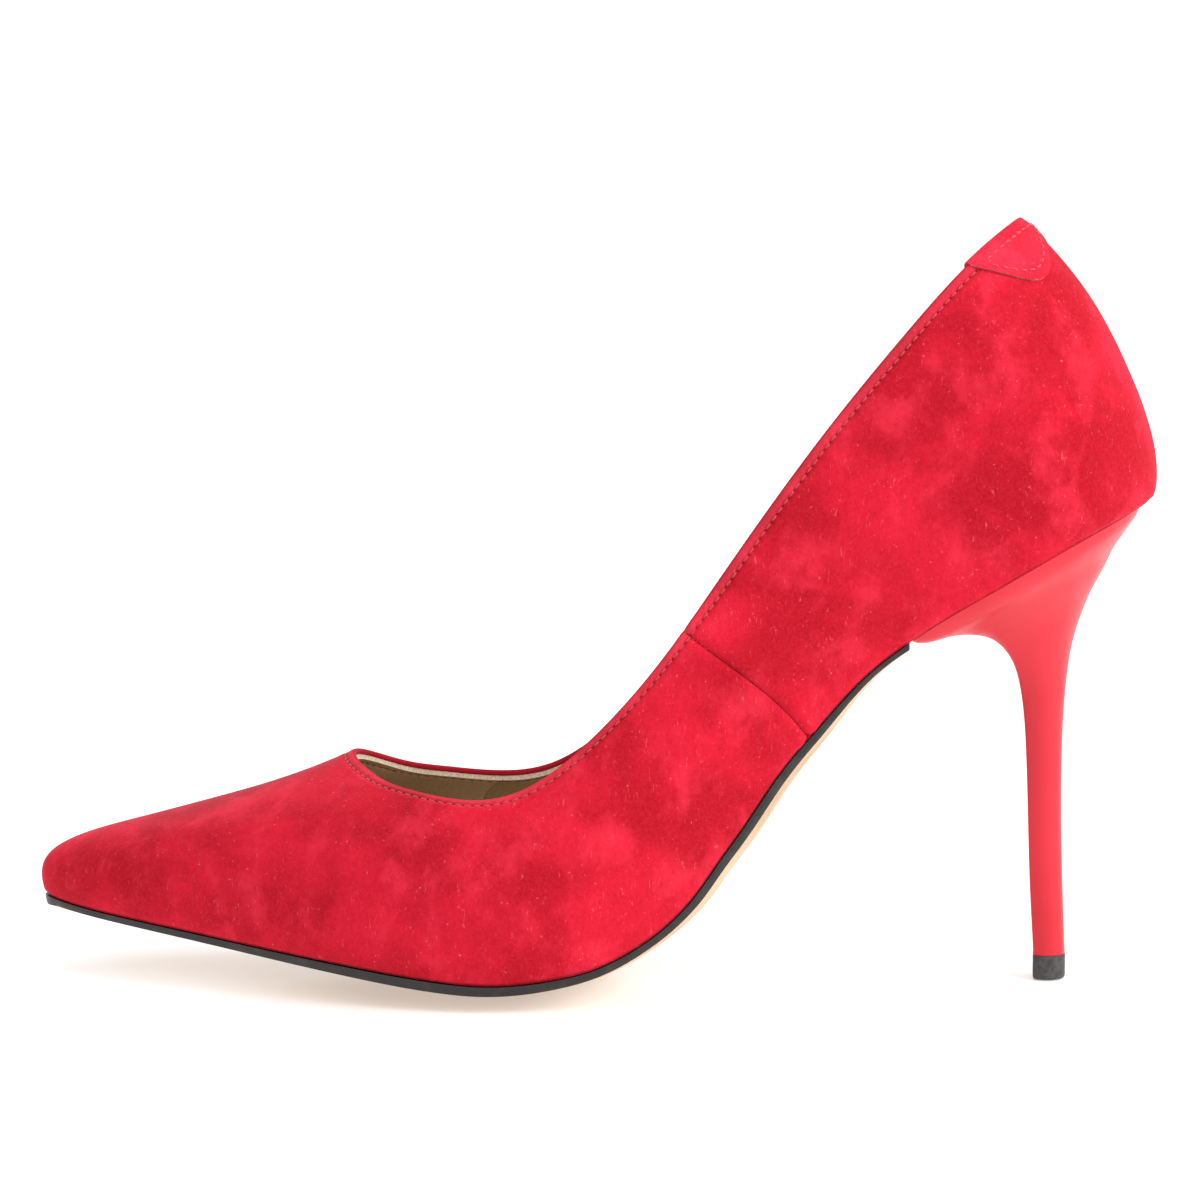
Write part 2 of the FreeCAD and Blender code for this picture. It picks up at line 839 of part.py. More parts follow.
def make_heel_dowel():
    base = V(dowel_x, heel_axis_y, top_piece_height + 0.1)
    length = dowel_top_z - base.z
    tube = cylinder(base, V(0, 0, 1), dowel_radius, length)
    return tube.cut(cylinder(base, V(0, 0, 1), dowel_bore_radius, 20))


def make_top_piece_pin(extra):
    head = cylinder(V(dowel_x, heel_axis_y, 1.9 - extra), V(0, 0, 1), 2.2 + extra, 1.0 + 2 * extra)
    shank = cylinder(V(dowel_x, heel_axis_y, 1.9 - extra), V(0, 0, 1), pin_radius + extra, 15)
    return head.fuse(shank).removeSplitter()


def make_top_piece():
    """Small D shaped tip with a bevelled tread edge, moulded round its pin."""
    def row(z, grow):
        return d_outline(V(top_piece_front - grow, 0, z), V(top_piece_back + grow, 0, z), 3.9 + grow,
                         stem_front_share, 33)
    levels = [(0, -0.3), (0.5, 0.1), (top_piece_height, 0.1)]
    piece = d_solid([row(z, grow) for z, grow in levels])
    return piece.cut(make_top_piece_pin(0.02)).Solids[0]


# ---------------------------------------------------------------------------
# Stitching
# ---------------------------------------------------------------------------
def below_topline(t, distance, depth):
    """Point on the wall at a distance below the topline."""
    rate = (skin(t, 1) - skin(t, 0.98)).Length / 0.02
    return layer(t, 1 - distance / rate, depth)


def stitches(path, samples):
    """Short bars of thread laid end to end along a path given over 0 to 1."""
    points = [path(k) for k in spread(0, 1, samples)]
    bars = []
    travelled = 0.0
    start = points[0]
    for a, b in zip(points, points[1:]):
        travelled += (b - a).Length
        if travelled >= stitch_pitch:
            along = b - start
            length = along.Length * stitch_cover
            bars.append(cylinder(start, along, stitch_radius, length))
            start = b
            travelled = 0.0
    return bars


def make_topline_stitching():
    reach = 1 - tab_reach
    outside = stitch_radius * 0.3
    bars = []
    for depth in (-outside, foot_depth + outside):
        row = lambda k, d=depth: below_topline(-reach + 2 * reach * k, stitch_inset, d)
        bars += stitches(row, 1400)
    return bars


def make_back_tab_stitching():
    """Thread round the back patch, just inside its edge."""
    depth = -tab_thickness - glue_gap - 0.06
    reach = tab_reach * 0.88

    def place(position, drop):
        t = 1 - abs(position)
        t = t if position > 0 else -t
        return layer(t, 1 - drop, depth)

    def low_row(k):
        position = -reach + 2 * reach * k
        return place(position, tab_drop(position) - 0.034)

    def high_row(k):
        position = -reach + 2 * reach * k
        t = 1 - abs(position)
        t = t if position > 0 else -t
        return below_topline(t, stitch_inset, depth)

    return stitches(low_row, 400) + stitches(high_row, 400)


def make_seam_stitching():
    """Thread of the closed seams, on their hidden side."""
    depth = upper_thickness + 0.25
    bars = []
    for side in (-1, 1):
        bars += stitches(lambda k, s=side: layer(s * side_seam(0.08 + 0.83 * k),
                                                 0.08 + 0.83 * k, depth), 400)
    bars += stitches(lambda k: layer(1, 0.65 + 0.26 * k, depth), 200)
    return bars


# ---------------------------------------------------------------------------
# Assembly
# ---------------------------------------------------------------------------
def save(name, solids):
    """Write one part as its own STEP file."""
    shape = solids if isinstance(solids, Part.Shape) else Part.makeCompound(solids)
    shape.exportStep("parts/" + name + ".step")


def main():
    fasteners = [make_heel_screw(clearance)] + make_heel_nails(clearance)
    rivets = [rivet(x, rivet_radius, 3.0) for x in rivet_places]
    rivet_holes = [rivet(x, rivet_radius + clearance, 3.0) for x in rivet_places]
    insole_board = make_insole_board()
    shank_board = make_shank_board()
    steel_shank = make_steel_shank()
    for tool in fasteners:
        insole_board = insole_board.cut(tool)
        shank_board = shank_board.cut(tool)
    for hole in rivet_holes:
        shank_board = shank_board.cut(hole)
        steel_shank = steel_shank.cut(hole)

    save("vamp", make_vamp())
    save("quarter_lateral", make_quarter(-1))
    save("quarter_medial", make_quarter(1))
    save("back_tab", make_back_tab())
    save("vamp_lining", make_vamp_lining())
    save("quarter_lining_lateral", make_quarter_lining(-1))
    save("quarter_lining_medial", make_quarter_lining(1))
    save("toe_puff", make_toe_puff())
    save("heel_counter", make_heel_counter())
    save("topline_tape", make_topline_tape())
    save("insole_board", insole_board.Solids[0])
    save("shank_board", shank_board.Solids[0])
    save("steel_shank", steel_shank.Solids[0])
    save("shank_rivets", rivets)
    save("bottom_filler", make_bottom_filler())
    save("heel_pad", make_heel_pad())
    save("sock_lining", make_sock_lining())
    save("outsole", make_outsole())
    save("heel_block", make_heel_block())
    save("heel_dowel", make_heel_dowel())
    save("heel_screw", make_heel_screw(0))
    save("heel_nails", make_heel_nails(0))
    save("top_piece", make_top_piece())
    save("top_piece_pin", make_top_piece_pin(0))
    save("topline_stitching", make_topline_stitching())
    save("back_tab_stitching", make_back_tab_stitching())
    save("seam_stitching", make_seam_stitching())


main()
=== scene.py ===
import math

import bmesh
import bpy
import numpy as np
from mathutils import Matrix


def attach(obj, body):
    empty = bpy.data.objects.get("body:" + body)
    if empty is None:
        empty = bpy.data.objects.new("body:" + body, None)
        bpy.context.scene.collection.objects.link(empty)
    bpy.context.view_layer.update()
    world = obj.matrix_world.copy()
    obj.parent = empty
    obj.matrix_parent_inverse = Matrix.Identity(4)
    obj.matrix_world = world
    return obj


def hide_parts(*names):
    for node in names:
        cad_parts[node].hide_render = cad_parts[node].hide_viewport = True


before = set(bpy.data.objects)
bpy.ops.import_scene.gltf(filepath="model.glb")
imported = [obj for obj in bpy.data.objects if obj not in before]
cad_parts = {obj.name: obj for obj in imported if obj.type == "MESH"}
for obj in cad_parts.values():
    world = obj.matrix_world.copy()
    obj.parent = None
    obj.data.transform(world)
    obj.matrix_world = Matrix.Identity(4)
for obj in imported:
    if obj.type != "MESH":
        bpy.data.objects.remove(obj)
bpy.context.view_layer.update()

# ---------------------------------------------------------------------------
# A pointed high heel pump. The tables and formulas below repeat the packed
# part's, in millimetres; every mesh is made in metres through MM.
# X runs from toe to heel, Y from the outer to the inner side of a left foot.
# ---------------------------------------------------------------------------
MM = 0.001

UPPER_THICKNESS = 1.1
STIFFENER_THICKNESS = 0.6
LINING_THICKNESS = 0.7
GLUE_GAP = 0.05
MARGIN_WIDTH = 9.0
TAB_THICKNESS = 0.7
TAB_INNER_THICKNESS = 0.8
STIFFENER_DEPTH = UPPER_THICKNESS + GLUE_GAP
LINING_DEPTH = STIFFENER_DEPTH + STIFFENER_THICKNESS + GLUE_GAP
FOOT_DEPTH = LINING_DEPTH + LINING_THICKNESS
BOARD_THICKNESS = 1.2
BOARD_HEIGHT = FOOT_DEPTH + GLUE_GAP
SHANK_STEP = 1.05
SOCK_THICKNESS = 0.8
HEEL_PAD_THICKNESS = 1.6
SEAM_GAP = 0.0002
TOPLINE_TILT = 0.055
TOPLINE_SKEW = 0.06
STITCH_PITCH = 2.1
STITCH_INSET = 2.4
STITCH_RADIUS = 0.2
TAB_REACH = 0.088

STATION = [0, 0.035, 0.085, 0.175, 0.26, 0.345, 0.45, 0.585, 0.72, 0.835, 0.925, 1]
FEATHER = [
    (-121.1, 0), (-117.8, 4.6), (-104, 12), (-74, 23.5), (-44, 33), (-15, 36),
    (17, 29.5), (43, 22.8), (68, 21.4), (92, 23), (111.0, 16.8), (120.8, 0),
]
LOW_GUIDE = [
    (-127.6, 0, 33.6), (-123, 9.5, 31.5), (-108.5, 19, 27.5), (-78.5, 29, 24.5),
    (-46, 38, 22), (-14, 41, 22), (15, 34.5, 32), (42.5, 28, 65),
    (67, 28, 89), (93, 30, 104), (116, 23, 112), (126.2, 0, 115.8),
]
HIGH_GUIDE = [
    (-98, 0, 28.4), (-94.5, 11.5, 29.8), (-82, 21, 34), (-59.5, 26.5, 37.5),
    (-35, 33, 37.5), (-12, 35, 38), (12, 33, 51), (36, 28.5, 81.5),
    (58.5, 28, 108.5), (83, 25.5, 131), (101, 18.6, 147.6), (108.2, 0, 155.6),
]
TOPLINE = [
    (-51.2, 0, 50.2), (-49.6, 7.5, 49.2), (-44, 15, 46.5), (-34.5, 22.3, 44.2),
    (-22, 26.8, 43), (-8, 27.6, 46.8), (11.5, 26.7, 64.4), (30.5, 24.6, 90.2),
    (51, 22.6, 119.3), (69.2, 19.3, 142.2), (83.6, 12.6, 158.4), (91.6, 0, 165.4),
]
BOTTOM_X = [-124, -113, -100, -84, -65, -47, -29, -20, -12, -4, 4, 12.5, 21, 25,
            29, 34, 42, 50, 58.5, 68, 88, 109.6, 124]
BOTTOM_Z = [16.6, 14.6, 12.7, 10.5, 8, 5.7, 3.4, 2.8, 3.2, 4.4, 6.5, 10.8, 17.6, 22.3,
            28.1, 35.2, 47.2, 57, 66.6, 74.4, 86.4, 99.4, 107.5]
CROWN_X = [-124, -84, -47, -20, 4, 25, 43, 60, 80, 100, 124]
CROWN_Z = [0.003, 0.003, 0.0024, 0.0024, 0.0025, 0.0031, 0.0036, 0.0034, 0.0042, 0.0044, 0.0044]
SWING_X = [-124, -85, -60, -38, -20, -5, 12, 30, 50, 70, 90, 124]
SWING_Y = [7.6, 5.8, 2.6, 0.5, -0.2, 0.4, 2.2, 4.4, 6.8, 8.8, 9.9, 10.2]
SOLE_X = [-124, -70, -40, -5, 20, 52, 66, 74]
SOLE_THICKNESS = [2.1, 2.5, 3.0, 3.0, 2.9, 3.0, 1.5, 1.2]
# How much thinner the sole is at its edges than in its middle, along X
THINNING_X = [-124, -70, -30, 0, 30, 52, 68]
SOLE_THINNING = [0.75, 0.85, 1.0, 1.2, 1.6, 1.55, 0.3]
SOLE_GAP = 0.15
SOLE_END = 0.7255

# Sections from the seat down to the tip: front x and z, back x and z, half width
HEEL_SECTIONS = [
    (67.0, 84.0, 115.6, 113.0, 22.9),
    (67.9, 79.8, 118.5, 107.0, 22.8),
    (68.8, 76.9, 118.3, 103.4, 22.3),
    (71.6, 76.0, 117.0, 101.2, 21.0),
    (76.9, 77.0, 114.8, 98.0, 18.7),
    (82.2, 77.2, 112.7, 94.8, 16.2),
    (86.3, 76.1, 110.8, 90.7, 13.4),
    (89.2, 73.7, 108.5, 86.4, 10.9),
    (91.5, 69.9, 106.2, 80.9, 8.8),
    (92.9, 64.9, 104.3, 74.6, 7.0),
    (93.8, 58.5, 103.1, 67.0, 5.7),
    (94.4, 50.0, 102.4, 57.0, 4.7),
    (94.9, 38.0, 102.2, 42.0, 4.0),
    (95.5, 22.0, 102.6, 24.0, 3.8),
    (96.5, 5.45, 103.4, 5.45, 3.9),
]
WIDEST_SHARE = 0.42
# Width left at the front corners, at the seat and down the stem
WIDE_CORNER = 0.93
SLIM_CORNER = 0.72
TIP_FRONT = 96.5
TIP_BACK = 103.4
TIP_HALF_WIDTH = 3.9
# Where the sheets under the foot start at the toe and end at the back
SHEET_TOE = 0.035
SHEET_HEEL = 0.93
PAD_FRONT = 0.735


# ---------------------------------------------------------------------------
# The shape, for arrays of positions
# ---------------------------------------------------------------------------
class Curve:
    """Natural cubic spline through the given points."""

    def __init__(self, xs, ys):
        self.xs = np.array(xs, float)
        self.ys = np.array(ys, float)
        steps = np.diff(self.xs)
        slopes = np.diff(self.ys) / steps
        matrix = np.eye(len(xs))
        right = np.zeros(len(xs))
        for i in range(1, len(xs) - 1):
            matrix[i, i - 1:i + 2] = steps[i - 1], 2 * (steps[i - 1] + steps[i]), steps[i]
            right[i] = 6 * (slopes[i] - slopes[i - 1])
        self.bends = np.linalg.solve(matrix, right)

    def __call__(self, x):
        x = np.asarray(x, float)
        i = np.clip(np.searchsorted(self.xs, x) - 1, 0, len(self.xs) - 2)
        step = self.xs[i + 1] - self.xs[i]
        right = (x - self.xs[i]) / step
        left = 1 - right
        cubic = (left ** 3 - left) * self.bends[i] + (right ** 3 - right) * self.bends[i + 1]
        return left * self.ys[i] + right * self.ys[i + 1] + cubic * step ** 2 / 6


STATION_ALL = [-s for s in STATION[3:0:-1]] + STATION + [2 - s for s in STATION[-2:-5:-1]]


def guide_curve(points):
    """Curves for the columns of one guide, carried on past both centre lines."""
    curves = []
    for axis, values in enumerate(zip(*points)):
        sign = -1 if axis == 1 else 1
        ahead = [sign * value for value in values[3:0:-1]]
        behind = [sign * value for value in values[-2:-5:-1]]
        curves.append(Curve(STATION_ALL, ahead + list(values) + behind))
    return curves


bottom_curve = Curve(BOTTOM_X, BOTTOM_Z)
crown_curve = Curve(CROWN_X, CROWN_Z)
swing_curve = Curve(SWING_X, SWING_Y)
sole_curve = Curve(SOLE_X, SOLE_THICKNESS)
thinning_curve = Curve(THINNING_X, SOLE_THINNING)
feather_curves = guide_curve(FEATHER)
guides = [guide_curve(LOW_GUIDE), guide_curve(HIGH_GUIDE), guide_curve(TOPLINE)]


def stack(x, y, z):
    return np.stack(np.broadcast_arrays(x, y, z), -1)


def unit(vectors):
    length = np.linalg.norm(vectors, axis=-1, keepdims=True)
    return vectors / np.maximum(length, 1e-9)


def smooth_step(x, start, end):
    k = np.clip((np.asarray(x, float) - start) / (end - start), 0, 1)
    return k * k * (3 - 2 * k)


def bump(distance, width):
    return np.exp(-(distance / width) ** 2)


def bottom(x, y):
    """Height of the lasted underside, which is also the top of the outsole."""
    return bottom_curve(x) + crown_curve(x) * (y - swing_curve(x)) ** 2


def slope_cosine(x):
    rise = bottom_curve(x + 0.5) - bottom_curve(x - 0.5)
    return 1 / np.sqrt(1 + rise * rise)


def split_side(t):
    """Station and side (-1 outer, +1 inner) of positions t round the shoe."""
    t = np.asarray(t, float)
    t = np.where(t > 1, t - 2, np.where(t < -1, t + 2, t))
    return np.abs(t), np.where(t < 0, -1.0, 1.0)


def feather_point(t):
    u, side = split_side(t)
    x = feather_curves[0](u)
    y = swing_curve(x) + side * feather_curves[1](u)
    return stack(x, y, bottom(x, y))


def skin(t, v):
    """Outer skin: v is 0 at the feather edge and 1 at the topline."""
    t, v = np.broadcast_arrays(np.asarray(t, float), np.asarray(v, float))
    u, side = split_side(t)
    start = feather_point(t)
    weights = [3 * v * (1 - v) ** 2, 3 * v * v * (1 - v), v ** 3]
    first = (1 - v) ** 3
    x = first * start[..., 0]
    z = first * start[..., 2]
    width = first * feather_curves[1](u)
    for weight, curves in zip(weights, guides):
        x = x + weight * curves[0](u)
        width = width + weight * curves[1](u)
        z = z + weight * curves[2](u)
    lean = side * width * v * v
    x = x + TOPLINE_SKEW * lean
    return stack(x, swing_curve(x) + side * width, z - TOPLINE_TILT * lean)


def skin_normal(t, v):
    step = 0.002
    v = np.asarray(v, float)
    along = skin(t + step, v) - skin(t - step, v)
    up = skin(t, np.minimum(v + step, 1)) - skin(t, np.maximum(v - step, 0))
    return unit(np.cross(up, along))


def layer(t, v, depth):
    """Points at a depth below the skin; a negative depth is outside it."""
    depth = np.asarray(depth, float)
    points = skin(t, v) - skin_normal(t, v) * depth[..., None]
    points[..., 2] += np.maximum(depth, 0) * np.clip(1 - np.asarray(v) / 0.04, 0, 1)
    return points


def tuck(t, fraction, depth):
    """Points of the lasting margin, turned inwards under the insole."""
    u, side = split_side(t)
    edge = layer(t, 0.0 * u, depth + 0.0 * u)
    x0, y0, z0 = edge[..., 0], edge[..., 1], edge[..., 2]
    reach = (MARGIN_WIDTH - depth) * fraction
    x = x0 + reach * np.cos(math.pi * u)
    y = y0 - side * reach * np.sin(math.pi * u)
    rise = depth / slope_cosine(x)
    start_gap = z0 - bottom(x0, y0) - depth / slope_cosine(x0)
    return stack(x, y, bottom(x, y) + rise + start_gap * (1 - fraction))


def rim_rate(t):
    """Millimetres of wall for each unit of v, at the topline."""
    return np.linalg.norm(skin(t, 1.0) - skin(t, 0.98), axis=-1) / 0.02


def foot_rate(t):
    """Millimetres of wall for each unit of v, at the feather edge."""
    return np.linalg.norm(skin(t, 0.02) - skin(t, 0.0), axis=-1) / 0.02


def round_rate(t, v):
    """Millimetres round the shoe for each unit of t."""
    return np.linalg.norm(skin(t + 0.002, v) - skin(t - 0.002, v), axis=-1) / 0.004


def side_seam(v):
    return 0.614 - 0.086 * v


def lining_seam(v):
    return 0.34 - 0.085 * v


# Length along the stitch row, which starts where the back tab ends
row_t = np.linspace(-0.9995, 0.9995, 6001)
row_points = skin(row_t, 1 - STITCH_INSET / rim_rate(row_t))
row_steps = np.linalg.norm(np.diff(row_points, axis=0), axis=1)
row_length = np.concatenate([[0], np.cumsum(row_steps)])
row_length -= np.interp(-1 + TAB_REACH, row_t, row_length)


def rim_length(t):
    return np.interp(t, row_t, row_length)


# ---------------------------------------------------------------------------
# Meshes
# ---------------------------------------------------------------------------
def make_object(name, points, faces, materials, slots=None, uv=None, sharp=50):
    """Smooth mesh object from millimetre points, with its normals outwards."""
    mesh = bpy.data.meshes.new(name)
    mesh.from_pydata((np.asarray(points) * MM).tolist(), [], [list(face) for face in faces])
    for material in materials:
        mesh.materials.append(material)
    if slots is not None:
        mesh.polygons.foreach_set("material_index", np.asarray(slots, np.int32))
    work = bmesh.new()
    work.from_mesh(mesh)
    bmesh.ops.recalc_face_normals(work, faces=work.faces)
    work.to_mesh(mesh)
    work.free()
    mesh.polygons.foreach_set("use_smooth", np.ones(len(mesh.polygons), bool))
    mesh.set_sharp_from_angle(angle=math.radians(sharp))
    if uv is not None:
        corners = np.empty(len(mesh.loops), np.int32)
        mesh.loops.foreach_get("vertex_index", corners)
        layer_uv = mesh.uv_layers.new(name="rim")
        layer_uv.data.foreach_set("uv", np.asarray(uv, np.float32)[corners].ravel())
    mesh.update()
    piece = bpy.data.objects.new(name, mesh)
    bpy.context.scene.collection.objects.link(piece)
    return piece


def register(piece, slot, *nodes):
    """The piece stands for CAD nodes, which it hides, and hangs under the root body; slot is not
    used.
    """
    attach(piece, "root")
    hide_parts(*nodes)
    return piece


def loft(name, sections, materials, row_slots=None, uv=None, sharp=50):
    """Closed solid through ring sections whose two halves face each other."""
    count, ring = sections.shape[:2]
    faces, slots = [], []
    for i in range(count - 1):
        for j in range(ring):
            k = (j + 1) % ring
            faces.append((i * ring + j, (i + 1) * ring + j, (i + 1) * ring + k, i * ring + k))
            slots.append(row_slots[j] if row_slots is not None else 0)
    for base in (0, (count - 1) * ring):
        for j in range(ring // 2 - 1):
            faces.append((base + j, base + j + 1, base + ring - 2 - j, base + ring - 1 - j))
            slots.append(row_slots[j] if row_slots is not None else 0)
    flat_uv = None if uv is None else uv.reshape(-1, 2)
    return make_object(name, sections.reshape(-1, 3), faces, materials, slots, flat_uv, sharp)


def slab(name, over, under, materials, side_slot=0, under_slot=0, over_slot=0, rings=()):
    """Solid between two grids. rings gives (share down, bulge) of extra edge rows."""
    rows, columns = over.shape[:2]
    size = rows * columns
    index = np.arange(size).reshape(rows, columns)
    border = np.concatenate([index[0], index[1:, -1], index[-1, -2::-1], index[-2:0:-1, 0]])
    points = [over.reshape(-1, 3), under.reshape(-1, 3)]
    top_ring, low_ring = points[0][border], points[1][border]
    tangent = unit(np.roll(top_ring, -1, 0) - np.roll(top_ring, 1, 0))
    outward = unit(np.cross(tangent, [0.0, 0.0, 1.0]))
    centre = top_ring.mean(0)
    if np.sum(outward * (top_ring - centre)) < 0:
        outward = -outward
    loops = [border]
    offset = 2 * size
    for share, bulge in rings:
        points.append(top_ring + (low_ring - top_ring) * share + outward * bulge)
        loops.append(np.arange(len(border)) + offset)
        offset += len(border)
    loops.append(border + size)
    faces, slots = [], []
    for base, slot in ((0, over_slot), (size, under_slot)):
        a = index[:-1, :-1].ravel() + base
        b = index[1:, :-1].ravel() + base
        c = index[1:, 1:].ravel() + base
        d = index[:-1, 1:].ravel() + base
        faces += list(zip(a.tolist(), b.tolist(), c.tolist(), d.tolist()))
        slots += [slot] * len(a)
    for high, low in zip(loops, loops[1:]):
        faces += list(zip(high.tolist(), np.roll(high, -1).tolist(),
                          np.roll(low, -1).tolist(), low.tolist()))
        slots += [side_slot] * len(high)
    return make_object(name, np.concatenate(points), faces, materials, slots)


def crowded(start, end, count):
    """Positions round the shoe, closer together at the toe and at the back."""
    p = np.linspace(-1.5, 1.5, 6001)
    u = p - 0.6 * np.sin(2 * math.pi * p) / (2 * math.pi)
    ends = np.interp([start, end], u, p)
    return np.interp(np.linspace(ends[0], ends[1], count), p, u)


def column_places(left, right, count, span_mm):
    """Shares from 0 to 1 across a piece, with extra columns at both of its ends."""
    middle = (crowded(left, right, count) - left) / (right - left)
    near = np.array([0.15, 0.35, 0.6, 0.9, 1.3, 1.8, 2.4, 3.2, 4.2]) / span_mm
    inner = middle[(middle > near[-1] * 1.2) & (middle < 1 - near[-1] * 1.2)]
    return np.concatenate([[0], near, inner, 1 - near[::-1], [1]])


RIM_ROWS = np.array([7, 6, 5.2, 4.5, 3.9, 3.4, 3.0, 2.7, 2.4, 2.1, 1.8, 1.4, 1.0, 0.6])


def wall_rows(t_of, low_rows):
    """Grid of t and v up a wall, and the distance below the topline there."""
    t_top = t_of(1.0)
    rate = rim_rate(t_top)
    join = 1 - RIM_ROWS[0] / rate
    ramp = np.linspace(0, 1, low_rows)[:-1] ** 1.25
    v_low = join[:, None] * ramp[None, :]
    v_high = 1 - RIM_ROWS[None, :] / rate[:, None]
    v = np.concatenate([v_low, v_high], 1)
    t = t_of(v)
    return t, v, (1 - v) * rate[:, None]


def relief(t, v, below):
    """How far the suede stands proud of the smooth skin."""
    around = round_rate(t, v)
    seam = np.abs(np.abs(t) - side_seam(v)) * around
    back = (1 - np.abs(t)) * around
    foot = v * foot_rate(t)
    rise = -0.45 * bump(seam, 0.4) - 0.15 * bump(seam, 1.0) + 0.2 * bump(seam - 2.2, 1.2)
    rise += -0.5 * bump(back, 0.6) + 0.12 * bump(back - 1.9, 1.1)
    rise += 0.16 * bump(below - 1.1, 0.75) - 0.24 * bump(below - STITCH_INSET, 0.4)
    rise += 0.08 * bump(below - 3.5, 0.8)
    rise += -0.3 * bump(foot, 0.5)
    flat = smooth_step(below, 3, 12) * smooth_step(foot, 1, 8)
    sway = np.sin(23 * t + 9 * v) * np.sin(11 * v + 5 * t) + 0.6 * np.sin(51 * t - 17 * v)
    return rise + 0.07 * sway * flat


def suede_shell(name, left, right, count, materials):
    """Upper piece: tucked margin, wall, folded rim, and the same way back inside."""
    span = (right(0.5) - left(0.5)) * 330
    p = column_places(left(0.5), right(0.5), count, span)

    def t_of(v):
        v = np.asarray(v, float)
        share = p if v.ndim == 0 else p[:, None]
        return left(v) + (right(v) - left(v)) * share

    t, v, below = wall_rows(t_of, 46)
    outer = layer(t, v, -relief(t, v, below))
    inner_depth = UPPER_THICKNESS + 0.15 * (1 - smooth_step(below, 3, 5))
    inner = layer(t, v, inner_depth)
    fractions = np.array([1, 0.75, 0.5, 0.3, 0.15, 0.06])
    t0 = np.repeat(t_of(0.0)[:, None], len(fractions), 1)
    under = tuck(t0, fractions[None, :], GLUE_GAP)
    over = tuck(t0, fractions[None, :], UPPER_THICKNESS)
    t1 = t_of(1.0)
    top = skin(t1, 1.0)
    normal = skin_normal(t1, 1.0)
    up = unit(skin(t1, 1.0) - skin(t1, 0.98))
    front = -relief(t1, 1 - RIM_ROWS[-1] / rim_rate(t1), RIM_ROWS[-1])
    back = UPPER_THICKNESS + 0.15
    arcs = []
    for angle in np.radians([20, 42, 64, 84, 96, 116, 138, 160]):
        depth = (front + back) / 2 - (back - front) / 2 * np.cos(angle)
        drop = RIM_ROWS[-1] * (1 - np.sin(angle))
        arcs.append(top - normal * depth[:, None] - up * drop)
    roll = np.stack(arcs, 1)
    sections = np.concatenate([under, outer, roll, inner[:, ::-1], over[:, ::-1]], 1)
    length = rim_length(t)
    far = np.full(t0.shape, 60.0)
    zero = np.zeros(roll.shape[:2])
    u_rows = [rim_length(t0), length, zero + rim_length(t1)[:, None], length[:, ::-1],
              rim_length(t0)]
    v_rows = [far, below, zero, below[:, ::-1] + 100, far]
    uv = np.stack([np.concatenate(u_rows, 1), np.concatenate(v_rows, 1)], -1)
    return loft(name, sections, materials, uv=uv)


def lining_shell(name, left, right, count, materials):
    """Lining piece: it closes up to the suede's rim and ends in a cut edge."""
    span = (right(0.5) - left(0.5)) * 330
    p = column_places(left(0.5), right(0.5), count, span)

    def t_of(v):
        v = np.asarray(v, float)
        share = p if v.ndim == 0 else p[:, None]
        return left(v) + (right(v) - left(v)) * share

    t, v, below = wall_rows(t_of, 34)
    close = 1 - smooth_step(below, 3.2, 6.5)
    groove = 0.22 * bump(below - STITCH_INSET, 0.4)
    joint = np.abs(np.abs(t) - lining_seam(v)) * round_rate(t, v)
    back = (1 - np.abs(t)) * round_rate(t, v)
    groove = groove + 0.08 * bump(joint, 0.4) + 0.2 * bump(back, 0.5)
    outer = layer(t, v, LINING_DEPTH - 0.53 * close)
    inner = layer(t, v, FOOT_DEPTH - 0.12 * close - groove)
    fractions = np.array([1, 0.75, 0.5, 0.3, 0.15, 0.06])
    t0 = np.repeat(t_of(0.0)[:, None], len(fractions), 1)
    under = tuck(t0, fractions[None, :], LINING_DEPTH)
    over = tuck(t0, fractions[None, :], FOOT_DEPTH)
    sections = np.concatenate([under, outer, inner[:, ::-1], over[:, ::-1]], 1)
    half = sections.shape[1] // 2
    slots = [0] * sections.shape[1]
    slots[half - 1] = 1
    far = np.full(t0.shape, 60.0)
    u_rows = [rim_length(t0), rim_length(t), rim_length(t)[:, ::-1], rim_length(t0)]
    v_rows = [far, below + 100, below[:, ::-1], far]
    uv = np.stack([np.concatenate(u_rows, 1), np.concatenate(v_rows, 1)], -1)
    return loft(name, sections, materials, slots, uv, sharp=40)


# ---------------------------------------------------------------------------
# Under the foot
# ---------------------------------------------------------------------------
def inset_edge(distance):
    """Plan position inside the feather edge by a distance."""
    def edge(t):
        point = feather_point(t)
        along = feather_point(t + 0.002) - feather_point(t - 0.002)
        outward = unit(stack(-along[..., 1], along[..., 0], 0 * along[..., 0]))
        place = point - outward * distance
        place[..., 2] = 0
        return place
    return edge


def wall_edge(height, depth):
    """Plan position where the inside of a wall layer stands at a height."""
    def edge(t):
        t = np.asarray(t, float)
        low, high = np.zeros_like(t), np.full_like(t, 0.6)
        for _ in range(26):
            v = (low + high) / 2
            point = skin(t, v) - skin_normal(t, v) * depth
            above = point[..., 2] - bottom(point[..., 0], point[..., 1])
            under = above * slope_cosine(point[..., 0]) < height(point[..., 0])
            low, high = np.where(under, v, low), np.where(under, high, v)
        point[..., 2] = 0
        return point
    return edge


